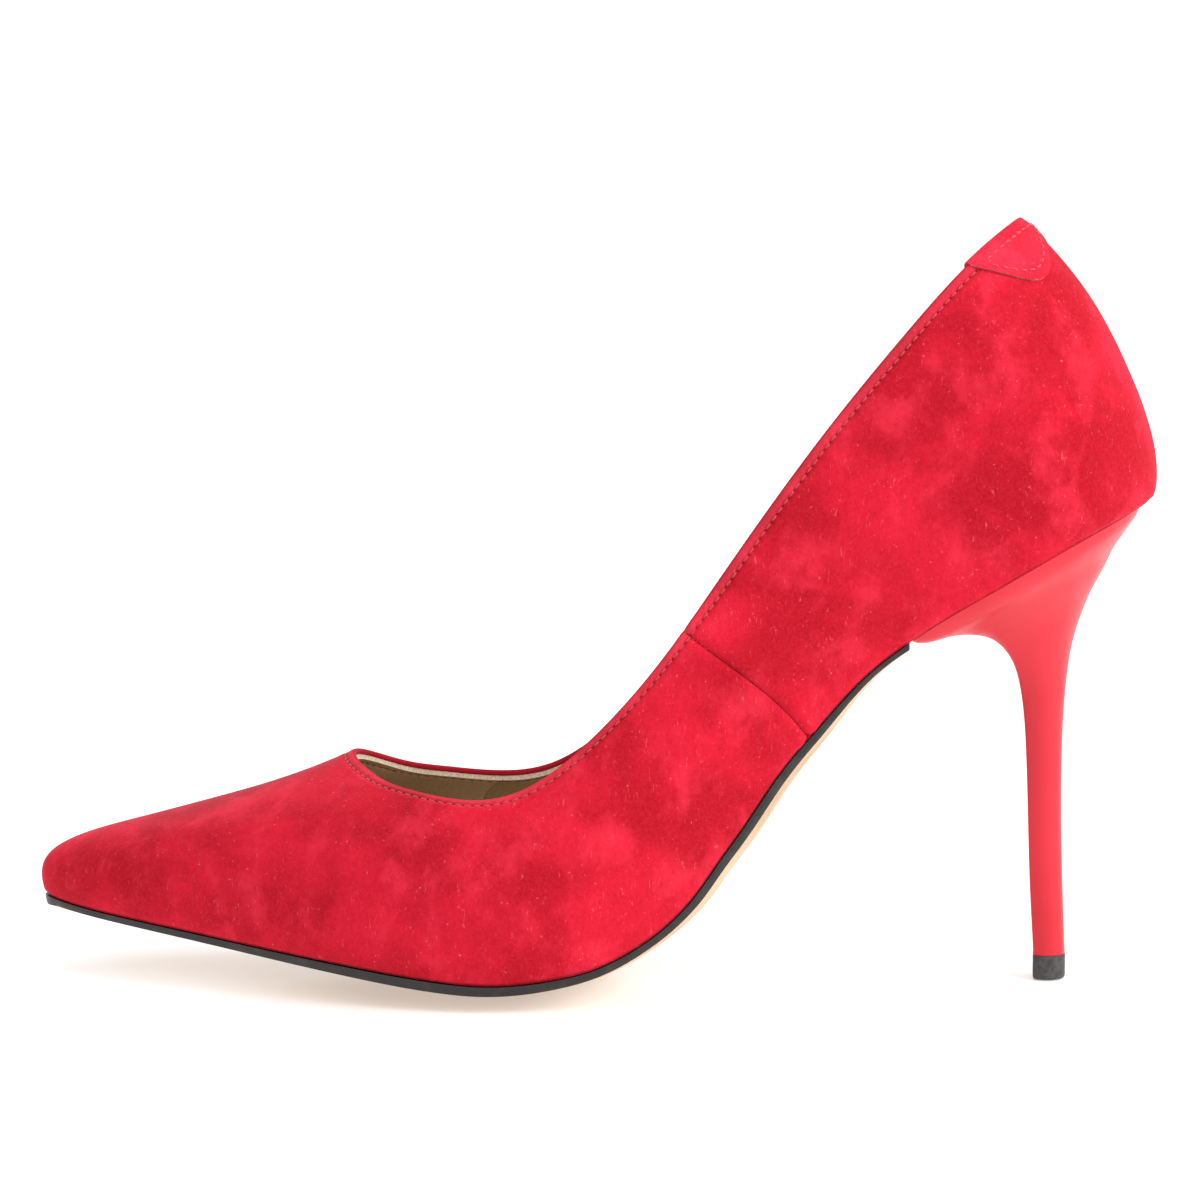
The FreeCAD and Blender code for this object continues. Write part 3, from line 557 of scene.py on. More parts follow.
def patch_grid(edge, height, toe_t, heel_t, toe_arc, heel_arc, rows, columns):
    """Grid over the sole inside an edge line, from the toe back to the heel."""
    c = np.linspace(-1, 1, columns)
    m = ((c + 1) / 2)[None, :, None]

    def across(t):
        return edge(np.array([-t]))[0], edge(np.array([t]))[0]

    def straight_line(t):
        outer, inner = across(t)
        return outer + (inner - outer) * m[0]

    front = edge(toe_t * c) if toe_arc else straight_line(toe_t)
    if heel_arc:
        rear = edge(np.where(c < 0, -1.0, 1.0) * (1 - (1 - heel_t) * np.abs(c)))
    else:
        rear = straight_line(heel_t)
    places = crowded(toe_t, heel_t, rows)
    outer, inner = edge(-places)[:, None], edge(places)[:, None]
    k = (np.arange(rows) / (rows - 1))[:, None, None]
    grid = outer * (1 - m) + inner * m + front[None] * (1 - k) + rear[None] * k
    grid = grid - (front[0] * (1 - m) + front[-1] * m) * (1 - k)
    grid = grid - (rear[0] * (1 - m) + rear[-1] * m) * k
    x, y = grid[..., 0], grid[..., 1]
    lift = height(x, c[None, :]) / slope_cosine(x)
    return stack(x, y, bottom(x, y) + lift)


def board_base(x):
    return BOARD_HEIGHT + SHANK_STEP * smooth_step(x, -18, -2)


def sock_base(x):
    pad = (HEEL_PAD_THICKNESS + GLUE_GAP) * smooth_step(x, 56, 66)
    return board_base(x) + BOARD_THICKNESS + GLUE_GAP + pad


def heel_d(front, back, half_width, front_share, count):
    """D shaped section: from one front corner round the back to the other."""
    s = np.linspace(-1, 1, count)
    p = np.abs(s)
    angle = p / 0.6 * math.pi / 2
    k = (p - 0.6) / 0.4
    round_part = p < 0.6
    a = np.where(round_part, WIDEST_SHARE + (1 - WIDEST_SHARE) * np.cos(angle),
                 WIDEST_SHARE * (1 - k))
    reach = np.where(round_part, np.sin(angle), 1 - (1 - front_share) * k * k)
    x = front[0] + (back[0] - front[0]) * a
    z = front[1] + (back[1] - front[1]) * a
    return stack(x, swing_curve(x) + np.sign(s) * half_width * reach, z)


def rounded_ring(outline, count, passes):
    """Closed evenly spaced ring along an outline, its corners softened."""
    closed = np.concatenate([outline, outline[:1]])
    lengths = np.concatenate([[0], np.cumsum(np.linalg.norm(np.diff(closed, axis=0), axis=1))])
    places = np.linspace(0, lengths[-1], count, endpoint=False)
    ring = np.stack([np.interp(places, lengths, closed[:, i]) for i in range(3)], -1)
    for _ in range(passes):
        ring = ring / 2 + (np.roll(ring, 1, 0) + np.roll(ring, -1, 0)) / 4
    return ring


def ring_stack(name, rings, materials, sharp=50):
    """Closed solid through a stack of rings, with a centre point in each end."""
    count, size = rings.shape[:2]
    points = np.concatenate([rings.reshape(-1, 3), [rings[0].mean(0)], [rings[-1].mean(0)]])
    faces = []
    for i in range(count - 1):
        for j in range(size):
            k = (j + 1) % size
            faces.append((i * size + j, i * size + k, (i + 1) * size + k, (i + 1) * size + j))
    for j in range(size):
        k = (j + 1) % size
        faces.append((count * size, j, k))
        faces.append((count * size + 1, (count - 1) * size + k, (count - 1) * size + j))
    return make_object(name, points, faces, materials, sharp=sharp)


def heel_rings(rows, size):
    """Rings of the heel, from the seat surface down to the top piece."""
    sections = np.array(HEEL_SECTIONS)
    front_steps = np.linalg.norm(np.diff(sections[:, 0:2], axis=0), axis=1)
    back_steps = np.linalg.norm(np.diff(sections[:, 2:4], axis=0), axis=1)
    places = np.concatenate([[0], np.cumsum((front_steps + back_steps) / 2)])
    curves = [Curve(places, sections[:, k]) for k in range(5)]
    fine = []
    for place in np.linspace(0, places[-1], 260):
        fx, fz, bx, bz, width = [float(curve(place)) for curve in curves]
        share = WIDE_CORNER + (SLIM_CORNER - WIDE_CORNER) * float(smooth_step(place, 8, 45))
        outline = heel_d((fx, fz), (bx, bz), width, share, 161)
        passes = 2 + int(6 * (1 - smooth_step(place, 10, 50)))
        fine.append(rounded_ring(outline, size, passes))
    fine = np.array(fine)
    seat = bottom(fine[..., 0], fine[..., 1]) - GLUE_GAP
    over = fine[..., 2] - seat
    rings = np.empty((rows, size, 3))
    along = np.arange(len(fine), dtype=float)
    ease = np.linspace(0, 1, rows) ** 0.9
    for j in range(size):
        below = np.argmax(over[:, j] < 0)
        start = 0.0
        if below > 0:
            high, low = over[below - 1, j], over[below, j]
            start = below - 1 + high / (high - low)
        want = start + (along[-1] - start) * ease
        for i in range(3):
            rings[:, j, i] = np.interp(want, along, fine[:, j, i])
    return rings


# ---------------------------------------------------------------------------
# Thread
# ---------------------------------------------------------------------------
def thread_row(name, place, total, materials, radius=STITCH_RADIUS, sink=0.08):
    """Stitches along place(length) -> point, normal, from hole to hole."""
    count = int(total / STITCH_PITCH)
    shares = np.array([0, 0.1, 0.28, 0.5, 0.72, 0.9, 1.0])
    sides = 8
    starts = (np.arange(count) + 0.1) * STITCH_PITCH
    lengths = starts[:, None] + shares[None, :] * STITCH_PITCH * 0.8
    centre, normal = place(lengths)
    ahead, _ = place(lengths + 0.1)
    tangent = unit(ahead - centre)
    cross = unit(np.cross(tangent, normal))
    arch = np.sin(math.pi * shares) ** 0.6
    lift = radius * (1.5 * arch - 0.95) - sink
    girth = radius * (0.55 + 0.45 * arch)
    slant = 0.10 * (shares - 0.5)
    centre = centre + normal * lift[None, :, None] + cross * slant[None, :, None]
    angles = np.linspace(0, 2 * math.pi, sides, endpoint=False)
    ring = (normal[:, :, None] * np.cos(angles)[None, None, :, None]
            + cross[:, :, None] * np.sin(angles)[None, None, :, None])
    points = centre[:, :, None] + ring * girth[None, :, None, None]
    size = len(shares) * sides
    faces = []
    for s in range(count):
        base = s * size
        for i in range(len(shares) - 1):
            for j in range(sides):
                k = (j + 1) % sides
                low = base + i * sides
                high = low + sides
                faces.append((low + j, high + j, high + k, low + k))
        faces.append(tuple(base + j for j in range(sides)))
        faces.append(tuple(base + size - 1 - j for j in range(sides)))
    u = np.broadcast_to(shares[None, :, None], points.shape[:3])
    w = np.broadcast_to(angles[None, None, :] / (2 * math.pi), points.shape[:3])
    uv = np.stack([u, w], -1).reshape(-1, 2)
    return make_object(name, points.reshape(-1, 3), faces, materials, uv=uv, sharp=80)


def path_by_length(points, normals):
    """place(length) along sampled points, and the whole length."""
    steps = np.linalg.norm(np.diff(points, axis=0), axis=1)
    lengths = np.concatenate([[0], np.cumsum(steps)])

    def place(wanted):
        flat = np.stack([np.interp(wanted, lengths, points[:, i]) for i in range(3)], -1)
        lean = np.stack([np.interp(wanted, lengths, normals[:, i]) for i in range(3)], -1)
        return flat, unit(lean)
    return place, lengths[-1]


def rim_path(depth, inward):
    t = np.linspace(-1 + TAB_REACH, 1 - TAB_REACH, 4001)
    v = 1 - STITCH_INSET / rim_rate(t)
    normal = skin_normal(t, v)
    points = skin(t, v) - normal * depth
    place, total = path_by_length(points, -normal if inward else normal)
    outer_total = float(rim_length(1 - TAB_REACH))
    scale = total / outer_total
    return (lambda wanted: place(np.asarray(wanted) * scale)), outer_total


def tab_drop(position):
    """How far down the wall the outer flap of the back tab comes: two lobes."""
    p = np.minimum(np.abs(position) / TAB_REACH, 1)
    lobe = 0.36 + 0.64 * np.sin(math.pi * p ** 1.3)
    return 0.012 + 0.19 * np.sqrt(1 - p ** 4) * lobe


def tab_t(position):
    return np.where(position > 0, 1 - np.abs(position), np.abs(position) - 1)


def back_tab_mesh(name, materials):
    """Suede patch folded over the topline at the back."""
    outside = -TAB_THICKNESS - GLUE_GAP
    inside = FOOT_DEPTH + TAB_INNER_THICKNESS
    position = np.linspace(-TAB_REACH, TAB_REACH, 121)
    t = tab_t(position)
    drop = tab_drop(position)
    top = skin(t, 1.0)
    up = unit(top - skin(t, 0.98))
    normal = skin_normal(t, 1.0)

    def half(near, far, rise, soft):
        columns = []
        for k in (1, 0.97, 0.92, 0.84, 0.72, 0.6, 0.45, 0.3, 0.15, 0.04):
            edge = soft * bump(drop * (1 - k) * 40, 0.6)
            columns.append(layer(t, 1 - drop * k, near + edge))
        for angle in np.radians([15, 40, 65, 90, 115, 140, 165]):
            depth = (near + far) / 2 - (far - near) / 2 * math.cos(angle)
            columns.append(top - normal * depth + up * (rise * math.sin(angle)))
        for k in (0.04, 0.2, 0.4, 0.6, 0.8, 0.93, 1):
            edge = soft * bump(drop * 0.6 * (1 - k) * 40, 0.6)
            columns.append(layer(t, 1 - drop * 0.6 * k, far - edge))
        return np.stack(columns, 1)

    over = half(outside, inside, TAB_THICKNESS + GLUE_GAP, 0.15)
    under = half(-GLUE_GAP, FOOT_DEPTH + GLUE_GAP, GLUE_GAP, 0.0)
    sections = np.concatenate([over, under[:, ::-1]], 1)
    ring = sections.shape[1]
    slots = [0] * ring
    slots[ring // 2 - 1] = 1
    slots[ring - 1] = 1
    return loft(name, sections, materials, slots, sharp=60)


# ---------------------------------------------------------------------------
# Materials
# ---------------------------------------------------------------------------
class Look:
    """A principled material with short helpers for its node tree."""

    def __init__(self, name, colour, roughness, **sockets):
        self.material = bpy.data.materials.new(name)
        self.material.use_nodes = True
        self.nodes = self.material.node_tree.nodes
        self.links = self.material.node_tree.links
        self.shader = self.nodes["Principled BSDF"]
        self.shader.inputs["Base Color"].default_value = (*colour, 1)
        self.shader.inputs["Roughness"].default_value = roughness
        for key, value in sockets.items():
            self.shader.inputs[key.replace("_", " ")].default_value = value
        self.material.diffuse_color = (*colour, 1)

    def node(self, kind, **settings):
        made = self.nodes.new(kind)
        for key, value in settings.items():
            setattr(made, key, value)
        return made

    def link(self, source, target):
        self.links.new(source, target)

    def place(self, scale=(1, 1, 1), uv=None):
        """Object coordinates in metres, or a named map, scaled along each axis."""
        if uv:
            source = self.node("ShaderNodeUVMap", uv_map=uv).outputs[0]
        else:
            source = self.node("ShaderNodeTexCoord").outputs["Object"]
        mapping = self.node("ShaderNodeMapping")
        mapping.inputs["Scale"].default_value = scale
        self.link(source, mapping.inputs["Vector"])
        return mapping.outputs[0]

    def noise(self, scale, detail=2.0, roughness=0.5, distortion=0.0, stretch=(1, 1, 1)):
        made = self.node("ShaderNodeTexNoise")
        made.inputs["Scale"].default_value = scale
        made.inputs["Detail"].default_value = detail
        made.inputs["Roughness"].default_value = roughness
        made.inputs["Distortion"].default_value = distortion
        self.link(self.place(stretch), made.inputs["Vector"])
        return made.outputs[0]

    def cells(self, scale, feature="F1", stretch=(1, 1, 1)):
        made = self.node("ShaderNodeTexVoronoi", feature=feature)
        made.inputs["Scale"].default_value = scale
        self.link(self.place(stretch), made.inputs["Vector"])
        return made.outputs["Distance"]

    def ramp(self, source, low, high, start=0.0, end=1.0):
        """Maps low..high of a value to start..end, smoothly and within them."""
        made = self.node("ShaderNodeMapRange", interpolation_type="SMOOTHSTEP")
        made.inputs["From Min"].default_value = low
        made.inputs["From Max"].default_value = high
        made.inputs["To Min"].default_value = start
        made.inputs["To Max"].default_value = end
        self.link(source, made.inputs["Value"])
        return made.outputs[0]

    def maths(self, operation, a, b=0.0):
        made = self.node("ShaderNodeMath", operation=operation)
        for socket, value in zip(made.inputs, (a, b)):
            if isinstance(value, (int, float)):
                socket.default_value = value
            else:
                self.link(value, socket)
        return made.outputs[0]

    def mix(self, factor, a, b, blend="MIX"):
        made = self.node("ShaderNodeMix", data_type="RGBA", blend_type=blend)
        sockets = made.inputs[0], made.inputs[6], made.inputs[7]
        for socket, value in zip(sockets, (factor, a, b)):
            if isinstance(value, tuple):
                socket.default_value = (*value, 1)
            elif isinstance(value, (int, float)):
                socket.default_value = value
            else:
                self.link(value, socket)
        return made.outputs[2]

    def colour(self, source):
        self.link(source, self.shader.inputs["Base Color"])
        return self

    def rough(self, source):
        self.link(source, self.shader.inputs["Roughness"])
        return self

    def relief(self, *layers):
        """Stacked bumps: each layer is a height, its strength and its depth in mm."""
        before = None
        for height, strength, depth in layers:
            made = self.node("ShaderNodeBump")
            made.inputs["Strength"].default_value = strength
            made.inputs["Distance"].default_value = depth * MM
            self.link(height, made.inputs["Height"])
            if before:
                self.link(before, made.inputs["Normal"])
            before = made.outputs[0]
        self.link(before, self.shader.inputs["Normal"])
        return self


def stitch_marks(look, holes_at):
    """Needle holes (1 in a hole) and puckers between them, from the rim map."""
    split = look.node("ShaderNodeSeparateXYZ")
    look.link(look.node("ShaderNodeUVMap", uv_map="rim").outputs[0], split.inputs[0])
    along = look.maths("DIVIDE", split.outputs[0], STITCH_PITCH)
    phase = look.maths("SUBTRACT", look.maths("FRACT", look.maths("ADD", along, 0.5)), 0.5)
    sideways = look.maths("SUBTRACT", split.outputs[1], holes_at)
    far = look.maths("SQRT", look.maths(
        "ADD", look.maths("POWER", look.maths("MULTIPLY", phase, STITCH_PITCH), 2.0),
        look.maths("POWER", sideways, 2.0)))
    hole = look.ramp(far, 0.14, 0.34, 1.0, 0.0)
    pucker = look.ramp(far, 0.2, 1.1, 0.0, 1.0)
    return split.outputs[1], hole, pucker


def suede(name, dark, middle, light, rim):
    """Napped suede: brushed patches, short fibres and hairs, pale specks, a folded rim with a
    painted pinker sheen and painted shade along its roll, and painted shade in its needle holes.
    """
    look = Look(name, middle, 0.92, Sheen_Weight=0.17, Sheen_Roughness=0.4,
                Sheen_Tint=(1.0, 0.42, 0.5, 1), Specular_IOR_Level=0.06)
    patches = look.noise(34, 4.0, 0.55, 0.35, (1.0, 1.0, 1.2))
    strokes = look.noise(110, 4.0, 0.6, 0.25, (1.0, 1.0, 0.8))
    grain = look.noise(1500, 3.0, 0.7)
    fibres = look.noise(900, 4.0, 0.75, 0.4, (1.0, 1.0, 0.35))
    hairs = look.noise(1700, 2.0, 0.5, 1.4, (1.0, 1.0, 0.22))
    dust = look.ramp(look.noise(1500, 1.0, 0.4), 0.765, 0.80)
    base = look.mix(look.ramp(patches, 0.38, 0.62), dark, middle)
    base = look.mix(look.ramp(strokes, 0.46, 0.72, 0.0, 0.55), base, light)
    base = look.mix(look.ramp(strokes, 0.26, 0.46, 0.35, 0.0), base, dark)
    base = look.mix(look.ramp(grain, 0.3, 0.7, 0.0, 0.22), base, light)
    base = look.mix(look.ramp(fibres, 0.55, 0.3, 0.0, 0.3), base, dark)
    base = look.mix(look.ramp(hairs, 0.66, 0.74, 0.0, 0.30), base, (0.80, 0.16, 0.19))
    base = look.mix(look.maths("MULTIPLY", dust, 0.35), base, (0.80, 0.30, 0.30))
    heights = [(patches, 0.25, 0.6), (fibres, 0.5, 0.14), (grain, 0.55, 0.10)]
    if rim:
        below, hole, pucker = stitch_marks(look, STITCH_INSET)
        # Painted sheen: a pinker band along the folded rim, fading out about 2.6 mm below the
        # topline
        folded = look.ramp(below, 1.6, 2.6, 0.2, 0.0)
        base = look.mix(folded, base, (0.62, 0.085, 0.12))
        # Painted shade: the roll over the topline is darkened towards the dark suede tone
        edge = look.ramp(below, 0.0, 0.7, 0.6, 0.0)
        base = look.mix(edge, base, dark)
        # Painted shade in the needle holes: nearly black dots where the thread goes in
        base = look.mix(look.maths("MULTIPLY", hole, 0.7), base, (0.03, 0.004, 0.006))
        heights.append((pucker, 0.8, 0.22))
    look.colour(base)
    look.rough(look.ramp(strokes, 0.3, 0.7, 0.84, 0.97))
    look.relief(*heights)
    return look.material


def grained_leather(name, dark, light, gloss, grain_scale, stitched=False):
    """Smooth lining leather: fine cells, faint clouds, a little handling gloss."""
    look = Look(name, light, gloss, Specular_IOR_Level=0.4)
    clouds = look.noise(45, 4.0, 0.55, 0.3)
    cells = look.cells(grain_scale, "DISTANCE_TO_EDGE")
    pores = look.noise(grain_scale * 2.2, 2.0)
    base = look.mix(look.ramp(clouds, 0.3, 0.7), dark, light)
    base = look.mix(look.ramp(cells, 0.0, 0.14, 0.25, 0.0), base, dark)
    heights = [(look.ramp(cells, 0.0, 0.2), 0.35, 0.06), (pores, 0.25, 0.04)]
    if stitched:
        _, hole, pucker = stitch_marks(look, STITCH_INSET)
        # Painted shade in the needle holes of the lining
        base = look.mix(look.maths("MULTIPLY", hole, 0.7), base, (0.05, 0.03, 0.02))
        heights.append((pucker, 0.6, 0.2))
    look.colour(base)
    look.rough(look.ramp(clouds, 0.3, 0.7, gloss - 0.06, gloss + 0.1))
    look.relief(*heights)
    return look.material


def raw_edge(name, stained=0.0):
    """Cut leather edge: pale, fibrous, a little dirty, stained red in patches."""
    look = Look(name, (0.72, 0.6, 0.45), 0.9, Specular_IOR_Level=0.2)
    fibres = look.noise(2600, 3.0, 0.7)
    clouds = look.noise(160, 2.0)
    base = look.mix(look.ramp(fibres, 0.3, 0.7), (0.5, 0.37, 0.24), (0.82, 0.72, 0.58))
    base = look.mix(look.ramp(clouds, 0.55, 0.75, 0.0, 0.35), base, (0.45, 0.3, 0.2))
    if stained:
        stains = look.noise(90, 2.0)
        base = look.mix(look.ramp(stains, 0.5, 0.62, stained, 0.0), base, (0.28, 0.006, 0.014))
    look.colour(base)
    look.relief((fibres, 0.7, 0.12))
    return look.material


def lacquer(name):
    """Satin sprayed lacquer on a moulded heel: orange peel and faint rubs."""
    look = Look(name, (0.56, 0.010, 0.022), 0.45, Coat_Weight=0.1, Coat_Roughness=0.28,
                Specular_IOR_Level=0.35)
    peel = look.noise(620, 2.0, 0.5)
    clouds = look.noise(38, 2.0)
    rubs = look.noise(300, 5.0, 0.7, 0.4, (1.0, 1.0, 0.12))
    base = look.mix(look.ramp(clouds, 0.3, 0.7), (0.54, 0.010, 0.022), (0.62, 0.014, 0.030))
    look.colour(base)
    look.rough(look.ramp(rubs, 0.35, 0.75, 0.36, 0.5))
    look.relief((peel, 0.12, 0.05), (rubs, 0.04, 0.05))
    return look.material


def sole_edge(name):
    """Glossy edge ink over a trimmed sole edge, with fine trimming lines."""
    look = Look(name, (0.008, 0.006, 0.006), 0.3, Specular_IOR_Level=0.3, Coat_Weight=0.25,
                Coat_Roughness=0.15)
    lines = look.noise(500, 4.0, 0.6, 0.2, (0.12, 0.12, 2.2))
    spots = look.noise(260, 3.0)
    base = look.mix(look.ramp(spots, 0.45, 0.75), (0.006, 0.005, 0.005), (0.022, 0.016, 0.014))
    look.colour(base)
    look.rough(look.ramp(lines, 0.3, 0.7, 0.18, 0.42))
    look.relief((lines, 0.35, 0.08), (spots, 0.15, 0.1))
    return look.material


def sole_leather(name):
    """Tan sole: buffed, lightly brushed along its length."""
    look = Look(name, (0.55, 0.37, 0.2), 0.5, Specular_IOR_Level=0.4)
    strokes = look.noise(260, 5.0, 0.65, 0.3, (0.1, 1.0, 0.3))
    clouds = look.noise(30, 3.0)
    pores = look.noise(2200, 2.0, 0.7)
    base = look.mix(look.ramp(clouds, 0.3, 0.7), (0.50, 0.33, 0.17), (0.66, 0.47, 0.28))
    base = look.mix(look.ramp(strokes, 0.5, 0.8, 0.0, 0.4), base, (0.38, 0.24, 0.12))
    look.colour(base)
    look.rough(look.ramp(strokes, 0.3, 0.7, 0.42, 0.6))
    look.relief((strokes, 0.25, 0.08), (pores, 0.3, 0.05))
    return look.material


def thread(name, dark, light):
    """Twisted thread: spiral plies with painted shade in the grooves between them, and a soft
    fibrous surface.
    """
    look = Look(name, light, 0.55, Sheen_Weight=0.3, Specular_IOR_Level=0.4)
    split = look.node("ShaderNodeSeparateXYZ")
    look.link(look.node("ShaderNodeUVMap", uv_map="rim").outputs[0], split.inputs[0])
    spiral = look.maths("ADD", look.maths("MULTIPLY", split.outputs[0], 3.0), split.outputs[1])
    ply = look.maths("ABSOLUTE", look.maths("SUBTRACT", look.maths("FRACT", spiral), 0.5))
    fuzz = look.noise(3000, 2.0)
    # Painted shade: the grooves between the plies take the dark colour, the crests the light one
    base = look.mix(look.ramp(ply, 0.0, 0.4), dark, light)
    base = look.mix(look.ramp(fuzz, 0.4, 0.7, 0.0, 0.3), base, light)
    look.colour(base)
    look.relief((ply, 0.7, 0.1), (fuzz, 0.3, 0.03))
    return look.material


def speckled(name, dark, light, roughness, scale, depth=0.1, strength=0.4, metallic=0.0,
             stretch=(1, 1, 1)):
    """Boards, foam, cork, rubber and metal: two mixed tones with their own grain."""
    look = Look(name, light, roughness, Metallic=metallic)
    grain = look.noise(scale, 4.0, 0.65, 0.2, stretch)
    clouds = look.noise(scale / 12, 3.0)
    base = look.mix(look.ramp(grain, 0.35, 0.65), dark, light)
    base = look.mix(look.ramp(clouds, 0.5, 0.8, 0.0, 0.4), base, dark)
    look.colour(base)
    look.rough(look.ramp(grain, 0.3, 0.7, roughness - 0.05, min(roughness + 0.08, 1)))
    look.relief((grain, strength, depth))
    return look.material


suede_upper = suede("suede_upper", (0.36, 0.004, 0.012), (0.56, 0.009, 0.027),
                    (0.74, 0.030, 0.062), True)
suede_patch = suede("suede_patch", (0.45, 0.008, 0.022), (0.63, 0.018, 0.043),
                    (0.78, 0.040, 0.078), False)
cut_edge = raw_edge("cut_edge")
tab_edge = raw_edge("tab_edge", 0.9)
lining_front = grained_leather("lining_front", (0.50, 0.37, 0.235), (0.60, 0.46, 0.31),
                               0.46, 700, True)
lining_sides = grained_leather("lining_sides", (0.36, 0.25, 0.145), (0.46, 0.335, 0.205),
                               0.46, 700, True)
sock_leather = grained_leather("sock_leather", (0.47, 0.34, 0.21), (0.57, 0.43, 0.28),
                               0.5, 560)
lacquer_red = lacquer("lacquer_red")
edge_black = sole_edge("edge_black")
sole_tan = sole_leather("sole_tan")
thread_outer = thread("thread_outer", (0.30, 0.006, 0.015), (0.62, 0.035, 0.06))
thread_hidden = thread("thread_hidden", (0.28, 0.01, 0.02), (0.5, 0.03, 0.05))
rubber_dark = speckled("rubber_dark", (0.022, 0.022, 0.022), (0.055, 0.053, 0.052), 0.5,
                       900, 0.08, 0.35)
foam_white = speckled("foam_white", (0.66, 0.64, 0.58), (0.86, 0.84, 0.79), 0.9, 1500,
                      0.3, 0.6)
HIDDEN_LOOKS = {
    "toe_puff": ((0.62, 0.6, 0.55), (0.8, 0.79, 0.74), 0.8, 1400, 0.0),
    "heel_counter": ((0.6, 0.58, 0.52), (0.78, 0.76, 0.7), 0.8, 1300, 0.0),
    "insole_board": ((0.33, 0.22, 0.13), (0.5, 0.36, 0.23), 0.85, 1100, 0.0),
    "shank_board": ((0.2, 0.2, 0.19), (0.36, 0.35, 0.33), 0.85, 1000, 0.0),
    "bottom_filler": ((0.2, 0.11, 0.05), (0.5, 0.33, 0.18), 0.9, 700, 0.0),
    "steel_shank": ((0.36, 0.37, 0.4), (0.6, 0.61, 0.63), 0.34, 800, 1.0),
    "shank_rivets": ((0.4, 0.41, 0.42), (0.66, 0.67, 0.68), 0.3, 900, 1.0),
    "heel_dowel": ((0.42, 0.42, 0.44), (0.66, 0.66, 0.68), 0.3, 850, 1.0),
    "heel_screw": ((0.45, 0.43, 0.36), (0.7, 0.67, 0.55), 0.34, 950, 1.0),
    "heel_nails": ((0.35, 0.34, 0.33), (0.58, 0.57, 0.55), 0.38, 950, 1.0),
    "top_piece_pin": ((0.42, 0.42, 0.43), (0.68, 0.68, 0.7), 0.3, 900, 1.0),
}
for node, (dark, light, roughness, scale, metallic) in HIDDEN_LOOKS.items():
    inner_look = speckled("inner_" + node, dark, light, roughness, scale, metallic=metallic)
    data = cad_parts[node].data
    for i in range(max(len(data.materials), 1)):
        if i < len(data.materials):
            data.materials[i] = inner_look
        else:
            data.materials.append(inner_look)

# ---------------------------------------------------------------------------
# Pieces
# ---------------------------------------------------------------------------
vamp = suede_shell("vamp_suede", lambda v: -side_seam(v) + SEAM_GAP,
                   lambda v: side_seam(v) - SEAM_GAP, 300, [suede_upper])
register(vamp, "suede_red", "vamp")
for name, side in (("lateral", -1), ("medial", 1)):
    front = lambda v, s=side: s * (side_seam(v) + SEAM_GAP)
    back = lambda v, s=side: s + 0 * v
    ends = (back, front) if side < 0 else (front, back)
    quarter = suede_shell("quarter_suede_" + name, *ends, 120, [suede_upper])
    register(quarter, "suede_red", "quarter_" + name)
    front = lambda v, s=side: s * (lining_seam(v) + SEAM_GAP)
    ends = (back, front) if side < 0 else (front, back)
    inner = lining_shell("quarter_lining_leather_" + name, *ends, 150,
                         [lining_sides, cut_edge])
    register(inner, "lining_tan", "quarter_lining_" + name)
vamp_lining = lining_shell("vamp_lining_leather", lambda v: -lining_seam(v) + SEAM_GAP,
                           lambda v: lining_seam(v) - SEAM_GAP, 170,
                           [lining_front, cut_edge])
register(vamp_lining, "lining_tan_light", "vamp_lining")

tab = back_tab_mesh("back_tab_suede", [suede_patch, tab_edge])
register(tab, "suede_tab_red", "back_tab")

# The tape lies under the fold of the rim, just below the stitches
tape_t = crowded(-0.999, 0.999, 260)
tape_drop = np.array([7.5, 6.4, 5.4])
tape_v = 1 - tape_drop[None, :] / rim_rate(tape_t)[:, None]
tape_grid = tape_t[:, None] + 0 * tape_v
tape_faces = [layer(tape_grid, tape_v, STIFFENER_DEPTH + k * 0.3 + 0 * tape_v) for k in (0, 1)]
tape_sections = np.concatenate([tape_faces[0], tape_faces[1][:, ::-1]], 1)
tape = loft("topline_tape_woven", tape_sections,
            [speckled("tape_weave", (0.68, 0.67, 0.64), (0.86, 0.85, 0.82), 0.85, 1800)])
register(tape, "tape_white", "topline_tape")

sock_low = patch_grid(wall_edge(sock_base, FOOT_DEPTH + GLUE_GAP), lambda x, c: sock_base(x),
                      SHEET_TOE, SHEET_HEEL, True, True, 150, 33)
sock_top = patch_grid(wall_edge(lambda x: sock_base(x) + SOCK_THICKNESS, FOOT_DEPTH + GLUE_GAP),
                      lambda x, c: sock_base(x) + SOCK_THICKNESS,
                      SHEET_TOE, SHEET_HEEL, True, True, 150, 33)
sock = slab("sock_leather_sheet", sock_top, sock_low, [sock_leather, cut_edge], side_slot=1)
register(sock, "sock_tan", "sock_lining")

pad_base = lambda x: board_base(x) + BOARD_THICKNESS + GLUE_GAP
pad_low = patch_grid(wall_edge(pad_base, FOOT_DEPTH + 1.5), lambda x, c: pad_base(x),
                     PAD_FRONT, SHEET_HEEL, False, True, 50, 27)
pad_top = patch_grid(wall_edge(lambda x: pad_base(x) + HEEL_PAD_THICKNESS, FOOT_DEPTH + 1.5),
                     lambda x, c: pad_base(x) + HEEL_PAD_THICKNESS - 0.3 * c ** 8,
                     PAD_FRONT, SHEET_HEEL, False, True, 50, 27)
pad = slab("heel_pad_foam", pad_top, pad_low, [foam_white], rings=[(0.3, 0.12), (0.7, 0.12)])
register(pad, "foam_white", "heel_pad")


def sole_lift(x, c):
    return -SOLE_GAP - (sole_curve(x) - thinning_curve(x) * c * c)


